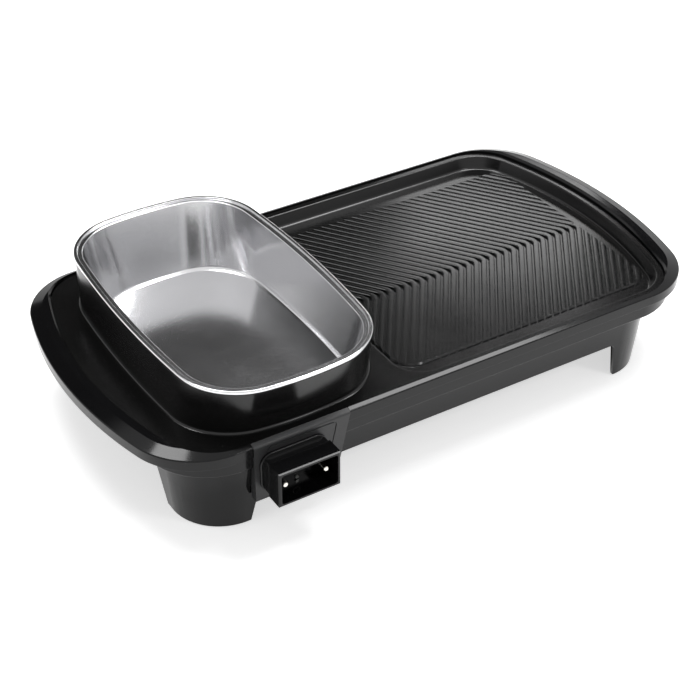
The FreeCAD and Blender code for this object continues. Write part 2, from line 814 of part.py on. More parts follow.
def cooking_plate():
    """One coated casting: rim flange, ribbed grill well and the jacket that the pot drops into."""
    shape = opening_outline().prism(plate_seat_z, flange_top_z, lift_gap)
    shape = shape.fuse(grill_well_taper(well_under_z, flange_top_z, casting_wall))
    shape = shape.fuse(jacket_taper(jacket_floor_z, flange_top_z))
    shape = shape.fuse(jacket_taper(flange_top_z, jacket_top_z)).removeSplitter()
    reach = jacket_half_x_base + jacket_cove
    crease = [edge for edge in shape.Edges
              if lies_at(edge, flange_top_z)
              and edge.BoundBox.XMin > pot_x - reach and edge.BoundBox.XMax < pot_x + reach]
    shape = shape.makeFillet(jacket_cove, crease)
    shape = shape.cut(grill_well_taper(well_floor_z, flange_top_z, 0))
    shape = shape.cut(jacket_taper(jacket_floor_top_z, flange_top_z, jacket_wall))
    shape = shape.cut(jacket_taper(flange_top_z, jacket_top_z, jacket_wall))
    bosses = []
    holes = []
    for x, y, top_z in clamp_screw_places():
        ceiling = jacket_floor_z if top_z < pot_element_z else well_under_z
        bosses.append(post(x, y, top_z, ceiling + boss_sink, clamp_boss_r))
        depth = clamp_screw_length - clamp_thick + fit_gap
        holes.append(post(x, y, top_z, top_z + depth, screw_r + fit_gap))
    x = earth_screw_x()
    seat_z = jacket_floor_z - earth_boss_height
    bosses.append(post(x, earth_screw_y, seat_z, jacket_floor_z + boss_sink, earth_boss_r))
    depth = clamp_screw_length - earth_thick + fit_gap
    holes.append(post(x, earth_screw_y, seat_z, seat_z + depth, screw_r + fit_gap))
    for x in panel_screw_xs():
        holes.append(post(x, panel_screw_y, plate_seat_z, flange_top_z - panel_screw_cover + fit_gap,
                          screw_r + fit_gap))
    shape = shape.fuse(bosses + ribs())
    return shape.cut(holes).removeSplitter()


def inner_pot():
    """Thin steel pot with a rolled rim and a ledge inside it."""
    rim = pot_outline(rim_half_x, rim_half_y)
    ledge = rim_width + pot_ledge_width
    foot = pot_outline(pot_foot_half_x, pot_foot_half_y)
    wall = taper(foot.wire(pot_foot_z), rim.wire(rim_under_z, ledge - pot_wall))
    wall = wall.makeFillet(pot_foot_round, [edge for edge in wall.Edges if lies_at(edge, pot_foot_z)])
    floor_z = pot_foot_z + pot_wall
    inside = taper(foot.wire(floor_z, pot_wall), rim.wire(rim_under_z, ledge))
    inside = inside.makeFillet(pot_foot_round - pot_wall,
                               [edge for edge in inside.Edges if lies_at(edge, floor_z)])
    lip = rim.prism(rim_under_z, pot_rim_z)
    lip = lip.makeFillet(rim_round, [edge for edge in lip.Edges if lies_at(edge, pot_rim_z)])
    lip = lip.cut(rim.prism(pot_ledge_z, pot_rim_z + cut_past, rim_width))
    shape = fuse(lip, wall).cut(inside)
    return shape.cut(rim.prism(rim_under_z, pot_rim_z + cut_past, ledge)).removeSplitter()


def pot_base():
    """Heat-spreading plate bonded under the pot."""
    foot = pot_outline(pot_foot_half_x, pot_foot_half_y)
    return foot.prism(jacket_floor_top_z, pot_foot_z, pot_base_inset)


def pin_xs():
    return (inlet_x - pin_spacing / 2, inlet_x + pin_spacing / 2)


def pot_element():
    left, right = pin_xs()
    near = pot_x - pot_loop_half_x
    far = pot_x + pot_loop_half_x
    points = [(left, pot_tube_end_y), (left, pot_loop_front_y), (near, pot_loop_front_y),
              (near, pot_loop_back_y), (far, pot_loop_back_y), (far, pot_loop_front_y),
              (right, pot_loop_front_y), (right, pot_tube_end_y)]
    bends = [pot_lead_bend, pot_lead_bend, pot_loop_bend, pot_loop_bend, pot_loop_bend, pot_lead_bend]
    return bent_tube(points, bends, pot_element_z, tube_r)


def grill_element():
    points = [(grill_lead_x, grill_tube_end_y), (grill_lead_x, -grill_outer_y),
              (grill_right_x, -grill_outer_y), (grill_right_x, -grill_inner_y),
              (grill_turn_x, -grill_inner_y), (grill_turn_x, grill_inner_y),
              (grill_right_x, grill_inner_y), (grill_right_x, grill_outer_y),
              (grill_return_x, grill_outer_y), (grill_return_x, grill_tube_end_y)]
    bends = [grill_lead_bend] + [grill_bend] * (len(points) - 3)
    return bent_tube(points, bends, grill_element_z, tube_r)


def element_seals():
    """Ceramic beads at the four tube ends, with the terminals passing through."""
    beads = []
    for x, y, z in terminal_places():
        bead = rod(x, z, y - seal_length, y, seal_r)
        beads.append(bead.cut(rod(x, z, y - seal_length, y, terminal_r + fit_gap)))
    return Part.makeCompound(beads)


def terminal_places():
    """Ends of both tubes: x, the y of the tube's end, and z."""
    places = [(x, pot_tube_end_y, pot_element_z) for x in pin_xs()]
    return places + [(x, grill_tube_end_y, grill_element_z) for x in (grill_return_x, grill_lead_x)]


def element_terminals():
    """Steel ends of the heating wires: two run to the pins of the inlet, two to the straps."""
    rods = []
    for x, y, z in terminal_places():
        reach = pin_tail_y if z == pot_element_z else y - terminal_length
        rods.append(rod(x, z, reach, y, terminal_r))
    return Part.makeCompound(rods)


def element_clamps():
    """Flat straps that hold both tubes up against the casting."""
    clamps = []
    for x, y, top_z, run in clamp_places():
        half = (clamp_length / 2, clamp_width / 2) if run == "x" else (clamp_width / 2, clamp_length / 2)
        clamp = box(x - half[0], x + half[0], y - half[1], y + half[1], top_z - clamp_thick, top_z)
        clamps.append(clamp)
    clamps = Part.makeCompound(clamps)
    holes = [post(x, y, top_z - clamp_thick - cut_past, top_z + cut_past, screw_r + seat_gap)
             for x, y, top_z in clamp_screw_places()]
    return clamps.cut(holes)


def clamp_screws():
    return Part.makeCompound([screw(x, y, top_z - clamp_thick, Vector(0, 0, 1), clamp_screw_length)
                              for x, y, top_z in clamp_screw_places()])


def rounded_bar(half_x, half_z, corner, y0, y1):
    """A bar along Y with rounded corners, centred on the inlet."""
    shape = box(inlet_x - half_x, inlet_x + half_x, y0, y1, inlet_z - half_z, inlet_z + half_z)
    edges = [edge for edge in shape.Edges if edge.BoundBox.YLength > (y1 - y0) / 2]
    return shape.makeFillet(corner, edges)


def inlet_screw_zs():
    return (inlet_z - inlet_screw_offset, inlet_z + inlet_screw_offset)


def inlet_housing():
    """Open box round the pins, with a step in its sides and a flange against the panel."""
    front = box(inlet_x - inlet_half_width, inlet_x + inlet_half_width, inlet_face_y, inlet_step_y,
                inlet_z - inlet_half_height, inlet_z + inlet_half_height)
    face_edges = [edge for edge in front.Edges if edge.BoundBox.YMax < inlet_face_y + touch]
    front = front.makeChamfer(inlet_chamfer / 2, face_edges)
    rear = box(inlet_x - inlet_half_width + inlet_step, inlet_x + inlet_half_width - inlet_step,
               inlet_step_y, panel_front_y,
               inlet_z - inlet_half_height + inlet_step, inlet_z + inlet_half_height - inlet_step)
    flange = rounded_bar(inlet_half_width + inlet_flange_margin, inlet_half_height + inlet_flange_margin,
                         inlet_flange_corner, panel_front_y - inlet_flange_thick, panel_front_y)
    shape = fuse(front, rear, flange)
    skin = inlet_step + inlet_wall
    shape = shape.cut(rounded_bar(inlet_half_width - skin, inlet_half_height - skin,
                                  inlet_chamfer, inlet_face_y - cut_past, block_face_y))
    bosses = [rod(inlet_x, z, block_face_y - inlet_boss_height, block_face_y, inlet_boss_r)
              for z in inlet_screw_zs()]
    shape = shape.fuse(bosses).cut(block_window(block_face_y - cut_past, panel_front_y + cut_past))
    holes = [rod(inlet_x, z, block_face_y - inlet_boss_height / 2, panel_front_y + cut_past,
                 small_screw_r + fit_gap)
             for z in inlet_screw_zs()]
    return shape.cut(holes).removeSplitter()


def block_window(y0, y1):
    """Opening for the pin block with its fitting gap."""
    return box(inlet_x - block_half_width - seat_gap, inlet_x + block_half_width + seat_gap, y0, y1,
               inlet_z - block_half_height - seat_gap, inlet_z + block_half_height + seat_gap)


def pin_block():
    """Moulded block that carries both pins and the sensor sleeve."""
    shape = box(inlet_x - block_half_width, inlet_x + block_half_width, block_face_y, panel_back_y,
                inlet_z - block_half_height, inlet_z + block_half_height)
    back = box(inlet_x - block_half_width - block_rim, inlet_x + block_half_width + block_rim,
               panel_back_y, block_back_y,
               inlet_z - block_half_height - block_rim, inlet_z + block_half_height + block_rim)
    shape = fuse(shape, back)
    start = block_face_y - cut_past
    end = block_back_y + cut_past
    holes = [rod(x, pin_z, start, end, pin_r + fit_gap) for x in pin_xs()]
    return shape.cut(holes + [rod(inlet_x, pin_z, start, end, sleeve_r + fit_gap)])


def terminal_pin(x):
    """Round contact pin with a domed tip and a collar behind the pin block."""
    shaft = rod(x, pin_z, pin_tip_y, pin_tail_y, pin_r)
    tip = [edge for edge in shaft.Edges if edge.BoundBox.YMax < pin_tip_y + touch]
    shaft = shaft.makeFillet(pin_round, tip)
    start = block_back_y + fit_gap
    return fuse(shaft, rod(x, pin_z, start, start + pin_collar_thick, pin_r + pin_collar))


def sensor_sleeve():
    """Tube with a closed end that leads the probe of the lead's thermostat to the jacket."""
    shape = rod(inlet_x, pin_z, block_face_y, sleeve_end_y, sleeve_r)
    return shape.cut(rod(inlet_x, pin_z, block_face_y, sleeve_end_y - sleeve_end_wall, sleeve_bore_r))


def panel_side(z, inset=0.0):
    """Left and right edge of the inlet panel at height z."""
    return (panel_left + inset, panel_right_top - panel_right_lean * (flange_top_z - z) - inset)


def panel_slab(y0, y1, foot_z, top_z, inset):
    low = panel_side(foot_z, inset)
    high = panel_side(top_z, inset)
    corners = [Vector(low[0], y0, foot_z), Vector(low[1], y0, foot_z), Vector(high[1], y0, top_z),
               Vector(high[0], y0, top_z), Vector(low[0], y0, foot_z)]
    return Part.Face(Part.makePolygon(corners)).extrude(Vector(0, y1 - y0, 0))


def panel_screw_xs():
    left, right = panel_side(plate_seat_z)
    return (left + panel_screw_inset, right - panel_screw_inset)


def inlet_panel():
    """Panel that hangs from the casting, carries the inlet and closes the notch in the base."""
    return_y = panel_back_y + panel_return
    shape = panel_slab(panel_front_y, return_y, panel_foot_z, plate_seat_z, 0)
    hollow = panel_slab(panel_back_y, return_y + cut_past, panel_foot_z + panel_return_wall,
                        plate_seat_z, panel_return_wall)
    shape = shape.cut(hollow)
    crown_slope = (ridge_z - lip_top_z) / handle_bevel
    crown_z = lip_top_z + crown_slope * opening_side
    brow_z = crown_z + crown_slope * (panel_front_y + opening_half_depth)
    side_x = -2 * half_length
    corners = [Vector(side_x, panel_front_y, brow_z), Vector(side_x, -opening_half_depth, crown_z),
               Vector(side_x, -opening_half_depth, ridge_z), Vector(side_x, panel_front_y, ridge_z),
               Vector(side_x, panel_front_y, brow_z)]
    above = Part.Face(Part.makePolygon(corners)).extrude(Vector(-2 * side_x, 0, 0))
    lip = panel_slab(panel_front_y, -opening_half_depth, plate_seat_z, ridge_z, 0).cut(above)
    shape = fuse(shape, lip)
    brow = [edge for edge in shape.Edges
            if lies_at(edge, brow_z) and edge.BoundBox.YMax < panel_front_y + touch]
    shape = shape.makeFillet(lip_fillet, brow)
    for x in panel_screw_xs():
        tab = box(x - panel_tab_width / 2, x + panel_tab_width / 2, panel_back_y,
                  panel_back_y + panel_tab_depth, plate_seat_z - panel_tab_thick, plate_seat_z)
        hole = post(x, panel_screw_y, plate_seat_z - panel_tab_thick - cut_past,
                    plate_seat_z + cut_past, screw_r + seat_gap)
        shape = shape.fuse(tab).cut(hole)
    start = panel_front_y - cut_past
    end = panel_back_y + cut_past
    shape = shape.cut(panel_groove()).cut(block_window(start, end))
    holes = [rod(inlet_x, z, start, end, small_screw_r + seat_gap) for z in inlet_screw_zs()]
    return shape.cut(holes).removeSplitter()


def panel_groove():
    """Fine groove in the face of the panel, round the flange of the inlet."""
    def frame(inset):
        shape = panel_slab(panel_front_y, panel_front_y + groove_depth, groove_foot_z + inset,
                           groove_top_z - inset, groove_inset + inset)
        edges = [edge for edge in shape.Edges if edge.BoundBox.YLength > groove_depth / 2]
        return shape.makeFillet(groove_corner - inset, edges)
    return frame(0).cut(frame(groove_width))


def inlet_screws():
    return Part.makeCompound([
        screw(inlet_x, panel_back_y, z, Vector(0, -1, 0),
              panel_thick + inlet_back_wall + inlet_boss_height / 2 - fit_gap,
              small_screw_r, small_screw_head_r, small_screw_head_h)
        for z in inlet_screw_zs()])


def panel_screws():
    seat_z = plate_seat_z - panel_tab_thick
    length = panel_tab_thick + flange_thick - panel_screw_cover
    return Part.makeCompound([screw(x, panel_screw_y, seat_z, Vector(0, 0, 1), length)
                              for x in panel_screw_xs()])


def strap(pin_x, strap_y, terminal_x):
    """Flat conductor with an eye on a pin, a run under the casting and an eye on a terminal."""
    half = strap_width / 2
    front = strap_y - strap_thick / 2
    back = strap_y + strap_thick / 2
    top_z = strap_z + strap_thick
    eye = rod(pin_x, pin_z, front, back, strap_eye_r)
    drop = box(pin_x - half, pin_x + half, front, back, strap_z, pin_z)
    run = box(pin_x - half, terminal_x + half, strap_y - half, strap_y + half, strap_z, top_z)
    riser_back = strap_riser_y + strap_thick / 2
    branch = box(terminal_x - half, terminal_x + half, strap_y - half, riser_back, strap_z, top_z)
    riser = box(terminal_x - half, terminal_x + half, riser_back - strap_thick, riser_back,
                strap_z, grill_element_z)
    end = rod(terminal_x, grill_element_z, riser_back - strap_thick, riser_back, strap_eye_r)
    shape = fuse(eye, drop, run, branch, riser, end)
    shape = shape.cut(rod(pin_x, pin_z, front - cut_past, back + cut_past, pin_r + fit_gap))
    return shape.cut(rod(terminal_x, grill_element_z, riser_back - strap_thick - cut_past,
                         riser_back + cut_past, terminal_r + fit_gap))


def earth_screw_x():
    return earth_leg_right - earth_width / 2


def earth_strap():
    """Earth conductor from the sensor sleeve to the casting."""
    top_z = jacket_floor_z - earth_boss_height
    eye = rod(inlet_x, pin_z, earth_plate_y, earth_plate_y + earth_thick, earth_eye_r)
    plate = box(inlet_x, earth_leg_right, earth_plate_y, earth_plate_y + earth_thick,
                pin_z - earth_width / 2, top_z)
    run = box(earth_leg_right - earth_width, earth_leg_right, earth_plate_y, earth_leg_end_y,
              top_z - earth_thick, top_z)
    shape = fuse(eye, plate, run)
    shape = shape.cut(rod(inlet_x, pin_z, earth_plate_y - cut_past,
                          earth_plate_y + earth_thick + cut_past, sleeve_r + fit_gap))
    return shape.cut(post(earth_screw_x(), earth_screw_y, top_z - earth_thick - cut_past,
                          top_z + cut_past, screw_r + seat_gap))


def earth_screw():
    seat_z = jacket_floor_z - earth_boss_height - earth_thick
    return screw(earth_screw_x(), earth_screw_y, seat_z, Vector(0, 0, 1), clamp_screw_length)


def write_parts():
    left_pin, right_pin = pin_xs()
    parts = {
        "top_frame": top_frame(),
        "lower_shell": lower_shell(),
        "leg_front_left": leg(-1, -1),
        "leg_front_right": leg(1, -1),
        "leg_back_left": leg(-1, 1),
        "leg_back_right": leg(1, 1),
        "foot_pads": foot_pads(),
        "leg_screws": leg_screws(),
        "frame_screws": frame_screws(),
        "heat_reflector": heat_reflector(),
        "reflector_screws": reflector_screws(),
        "cooking_plate": cooking_plate(),
        "pot_element": pot_element(),
        "grill_element": grill_element(),
        "element_seals": element_seals(),
        "element_terminals": element_terminals(),
        "element_clamps": element_clamps(),
        "clamp_screws": clamp_screws(),
        "inlet_housing": inlet_housing(),
        "inlet_panel": inlet_panel(),
        "inlet_screws": inlet_screws(),
        "panel_screws": panel_screws(),
        "pin_block": pin_block(),
        "terminal_pin_left": terminal_pin(left_pin),
        "terminal_pin_right": terminal_pin(right_pin),
        "sensor_sleeve": sensor_sleeve(),
        "live_strap": strap(left_pin, live_strap_y, grill_lead_x),
        "neutral_strap": strap(right_pin, neutral_strap_y, grill_return_x),
        "earth_strap": earth_strap(),
        "earth_screw": earth_screw(),
        "inner_pot": inner_pot(),
        "pot_base": pot_base(),
    }
    for name, shape in parts.items():
        shape.translate(Vector(0, middle_shift, 0))
        shape.exportStep(f"parts/{name}.step")
        state = "valid" if shape.isValid() else "INVALID"
        print(name, len(shape.Solids), "solids", round(shape.Volume), "mm3", state)


write_parts()
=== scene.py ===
"""Looks of an electric teppanyaki grill: a glossy moulded base, a coated casting and a steel pot.

The outlines are drawn about the middle of the frame, in millimetres, with +X away from the pot and
+Y away from the power inlet. Each finished piece is then moved along Y into the part's own frame.
"""

import json
import logging
import math
from collections.abc import Callable, Iterator
from contextlib import contextmanager
from dataclasses import dataclass, field, replace
from enum import Enum
from itertools import groupby

import bpy
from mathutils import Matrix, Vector

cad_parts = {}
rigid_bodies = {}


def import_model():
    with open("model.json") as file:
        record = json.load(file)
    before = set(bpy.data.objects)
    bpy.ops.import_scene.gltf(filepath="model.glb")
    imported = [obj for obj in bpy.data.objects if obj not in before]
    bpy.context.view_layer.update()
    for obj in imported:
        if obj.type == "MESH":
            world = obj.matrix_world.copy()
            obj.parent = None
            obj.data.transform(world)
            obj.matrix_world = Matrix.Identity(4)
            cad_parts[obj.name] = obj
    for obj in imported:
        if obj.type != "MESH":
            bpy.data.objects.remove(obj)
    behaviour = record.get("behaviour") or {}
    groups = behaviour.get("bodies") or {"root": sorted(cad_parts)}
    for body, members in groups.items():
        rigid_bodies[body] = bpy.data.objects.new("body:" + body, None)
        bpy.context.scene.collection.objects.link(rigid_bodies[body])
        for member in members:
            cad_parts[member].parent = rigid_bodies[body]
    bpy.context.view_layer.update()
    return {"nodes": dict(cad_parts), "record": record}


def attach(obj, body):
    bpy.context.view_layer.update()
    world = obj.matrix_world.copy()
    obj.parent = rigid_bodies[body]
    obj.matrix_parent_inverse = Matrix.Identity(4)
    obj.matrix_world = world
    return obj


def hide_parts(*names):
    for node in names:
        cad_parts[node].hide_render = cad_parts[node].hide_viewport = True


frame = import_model()

LOG = logging.getLogger("grill")
MM = 0.001
# From the frame's middle, about which everything is drawn, to the middle of the frame with its inlet.
MIDDLE_SHIFT = 13.65
# Corners closer than this are one corner.
MERGE_MM = 0.005
# What lies this close to a level or a face counts as lying on it.
NEAR = 0.1
# Least share of a face's normal along an axis for the face to look that way.
FACING = 0.9
# A cutter, or a body to be joined, reaches at least this far past the face that it shares.
PAST = 1.0

# Ways in which a profile's skin faces, in degrees.
DOWN, OUT, UP, IN = -90, 0, 90, 180
# Edges whose faces stand at this angle or more are sharp, and are softened with so many flats.
SHARP_DEGREES = 40.0
SOFT_FLATS = 2

# Two measures in millimetres, such as low and high, or x and y.
Pair = tuple[float, float]


class Body(Enum):
    """The three bodies that move against each other."""

    BASE = "base"
    TOP = "cooking_top"
    POT = "pot"


class Cut(Enum):
    """How one solid acts on another."""

    ADD = "UNION"
    TAKE = "DIFFERENCE"
    KEEP = "INTERSECT"


class Element(Enum):
    """What is picked in an open mesh: the editor's name for it and the mesh's list of it."""

    CORNER = ("VERT", "vertices")
    EDGE = ("EDGE", "edges")
    FACE = ("FACE", "polygons")


# Finishes

# Sockets of a Mix node by number, because its colours and its numbers share their names.
COLOUR_A, COLOUR_B, COLOUR_OUT = 6, 7, 2
NUMBER_A, NUMBER_B, NUMBER_OUT = 2, 3, 0
# How finely both patterns are broken up, and how strongly the grain tilts the surface.
GRAIN_DETAIL = 3.0
DRIFT_DETAIL = 2.0
RELIEF_STRENGTH = 0.3
# Grain times drift seldom rises above this.
PATTERN_TOP = 0.5
# Metallic value from which a surface is a metal, which keeps its own refraction.
METAL = 0.5


def linear(hex_colour: str) -> tuple[float, float, float, float]:
    """Turn an sRGB colour into the linear values that a shader takes.

    Args:
        hex_colour: six hexadecimal digits, such as "1a1a1a".

    Returns:
        Red, green, blue and an alpha of 1.
    """
    values = []
    for start in (0, 2, 4):
        share = int(hex_colour[start:start + 2], 16) / 255
        values.append(share / 12.92 if share <= 0.04045 else ((share + 0.055) / 1.055) ** 2.4)
    return (*values, 1.0)


def add_node(tree: bpy.types.NodeTree, kind: str, settings: dict | None = None,
             inputs: dict | None = None) -> bpy.types.Node:
    """Add one node with its settings, its input values and its links.

    Args:
        tree: the node tree of a material or a world.
        kind: the node's type, such as "ShaderNodeTexNoise".
        settings: properties of the node.
        inputs: by input name or number, a value or an output socket to link from.

    Returns:
        The new node.
    """
    node = tree.nodes.new(kind)
    for key, value in (settings or {}).items():
        setattr(node, key, value)
    for key, value in (inputs or {}).items():
        if isinstance(value, bpy.types.NodeSocket):
            tree.links.new(value, node.inputs[key])
        else:
            node.inputs[key].default_value = value
    return node


def empty_tree(owner: bpy.types.Material | bpy.types.World) -> bpy.types.NodeTree:
    """Switch a new material or world to nodes and empty it.

    Args:
        owner: the material or the world.

    Returns:
        Its node tree, with nothing in it.
    """
    owner.use_nodes = True
    owner.node_tree.nodes.clear()
    return owner.node_tree


@dataclass(frozen=True)
class Finish:
    """One surface as it leaves the factory: its colours, its gloss and its fine relief.

    The grain is a fine relief, the drift a slow change of colour and gloss across the piece.
    A stretch above 1 on an axis packs the grain into lines across that axis, and one below 1 draws
    it out into lines along the axis.
    """

    name: str
    colour: str
    drift_colour: str
    roughness: float
    roughness_spread: float = 0.04
    metallic: float = 0.0
    ior: float = 1.5
    grain_mm: float = 1.0
    grain_depth_mm: float = 0.01
    drift_mm: float = 45.0
    stretch: tuple[float, float, float] = (1.0, 1.0, 1.0)

    def material(self) -> bpy.types.Material:
        """Build the material once and hand the same one out again.

        Returns:
            The material with this finish's name.
        """
        found = bpy.data.materials.get(self.name)
        if found:
            return found
        made = bpy.data.materials.new(self.name)
        tree = empty_tree(made)
        place = add_node(tree, "ShaderNodeTexCoord")
        drawn = add_node(tree, "ShaderNodeMapping", None, {
            "Vector": place.outputs["Object"], "Scale": self.stretch})
        grain = add_node(tree, "ShaderNodeTexNoise", None, {
            "Vector": drawn.outputs["Vector"], "Scale": 1 / (self.grain_mm * MM),
            "Detail": GRAIN_DETAIL})
        drift = add_node(tree, "ShaderNodeTexNoise", None, {
            "Vector": place.outputs["Object"], "Scale": 1 / (self.drift_mm * MM),
            "Detail": DRIFT_DETAIL})
        tint = add_node(tree, "ShaderNodeMix", {"data_type": "RGBA"}, {
            "Factor": drift.outputs["Fac"], COLOUR_A: linear(self.colour),
            COLOUR_B: linear(self.drift_colour)})
        both = add_node(tree, "ShaderNodeMath", {"operation": "MULTIPLY"}, {
            0: grain.outputs["Fac"], 1: drift.outputs["Fac"]})
        gloss = add_node(tree, "ShaderNodeMapRange", None, {
            "Value": both.outputs["Value"], "From Max": PATTERN_TOP,
            "To Min": max(0.0, self.roughness - self.roughness_spread),
            "To Max": self.roughness + self.roughness_spread})
        relief = add_node(tree, "ShaderNodeBump", None, {
            "Height": grain.outputs["Fac"], "Strength": RELIEF_STRENGTH,
            "Distance": self.grain_depth_mm * MM})
        shader = add_node(tree, "ShaderNodeBsdfPrincipled", None, {
            "Base Color": tint.outputs[COLOUR_OUT], "Metallic": self.metallic,
            "Roughness": gloss.outputs["Result"], "Normal": relief.outputs["Normal"]})
        if self.metallic < METAL:
            shader.inputs["IOR"].default_value = self.ior
        add_node(tree, "ShaderNodeOutputMaterial", None, {"Surface": shader.outputs["BSDF"]})
        return made


# Phenolic moulding: polished tool faces give a deep black with sharp, faintly wavy reflections.
# The waves are the slow sink marks of a thick wall, about 9 mm across.
GLOSS_MOULDING = Finish("gloss_phenolic", "0a0a0b", "0e0e0f", 0.12, 0.03, ior=1.33, grain_mm=9.0,
                        grain_depth_mm=0.012, drift_mm=60.0)
# The same moulding off an etched tool face: satin, as the etch makes it, in a dark grey lighter than
# the gloss moulding's black, which is a painted sheen.
# The real etch is 0.1 mm across and wouldn't show, so it is drawn coarser.
SATIN_MOULDING_PAINTED_SHEEN = Finish("satin_phenolic_painted_sheen", "262627", "2b2b2c", 0.4, 0.04, ior=1.45, grain_mm=1.2,
                        grain_depth_mm=0.02, drift_mm=30.0)
# Non-stick coating on cast aluminium: satin, with the fine grain of the sprayed coat.
COATED_CASTING = Finish("non_stick_coating", "0b0b0b", "101010", 0.19, 0.04, ior=1.42, grain_mm=0.7,
                        grain_depth_mm=0.01)
# Polished stainless steel: nearly a mirror, softened by buffing that leaves waves 2.5 mm across.
POLISHED_STEEL = Finish("polished_stainless", "dcdcdd", "d2d2d4", 0.17, 0.03, metallic=1.0,
                        grain_mm=2.5, grain_depth_mm=0.001)
# Turned aluminium spreader plate under the pot: dull silver with close tool lines across X.
TURNED_ALUMINIUM = Finish("turned_aluminium", "b9babb", "aeb0b2", 0.32, 0.06, metallic=1.0,
                          grain_mm=0.8, grain_depth_mm=0.01, stretch=(8.0, 1.0, 1.0))
# Bright rolled sheet of the heat reflector: pale, with long rolling lines along X.
ROLLED_ALUMINIUM = Finish("rolled_aluminium", "d5d6d8", "c6c8ca", 0.22, 0.06, metallic=1.0,
                          grain_mm=1.0, grain_depth_mm=0.008, stretch=(0.1, 1.0, 1.0))
# Element tube: steel that the heat has darkened to a brown grey.
HEATED_STEEL = Finish("heat_darkened_steel", "5a544c", "3f3b38", 0.42, 0.08, metallic=1.0, grain_mm=0.9,
                      drift_mm=18.0)
# Zinc-plated steel of screws, clamps and the sleeve: pale grey with a soft sheen.
ZINC_STEEL = Finish("zinc_plated_steel", "a9a9a6", "9a9b99", 0.3, 0.07, metallic=1.0, grain_mm=0.5,
                    drift_mm=6.0)
# Nickel-plated brass pins: bright, slightly warm.
NICKEL_PIN = Finish("nickel_plated_pin", "d9d7d0", "cfccc4", 0.14, 0.04, metallic=1.0, grain_mm=0.6,
                    grain_depth_mm=0.003, drift_mm=8.0)
# Rolled brass strip of the conductors: warm yellow with long rolling lines along X.
ROLLED_BRASS = Finish("rolled_brass", "c8a45a", "b8934c", 0.28, 0.06, metallic=1.0, grain_mm=0.6,
                      stretch=(0.15, 1.0, 1.0), drift_mm=12.0)
# Unglazed steatite: matt, creamy, with a fine sandy grain.
STEATITE = Finish("unglazed_steatite", "d8d2c4", "cdc6b6", 0.62, 0.08, grain_mm=0.5,
                  grain_depth_mm=0.03, drift_mm=10.0)
# Silicone pads: matt dark rubber.
SILICONE = Finish("matt_silicone", "1b1b1b", "222222", 0.7, 0.08, grain_mm=0.8, grain_depth_mm=0.03,
                  drift_mm=8.0)

FINISH_OF_SLOT = {
    "moulded_black": GLOSS_MOULDING,
    "coated_casting": COATED_CASTING,
    "polished_steel": POLISHED_STEEL,
    "spreader_aluminium": TURNED_ALUMINIUM,
    "tray_aluminium": ROLLED_ALUMINIUM,
    "element_steel": HEATED_STEEL,
    "plated_steel": ZINC_STEEL,
    "bright_pin": NICKEL_PIN,
    "conductor_brass": ROLLED_BRASS,
    "steatite": STEATITE,
    "pad_rubber": SILICONE,
}


# Drawing


@dataclass(frozen=True)
class Arc:
    """One turn of an outline about a centre, drawn in even steps."""

    centre: Pair
    angle: float
    steps: int


@dataclass(frozen=True)
class Line:
    """One straight run of an outline."""

    shift: Pair


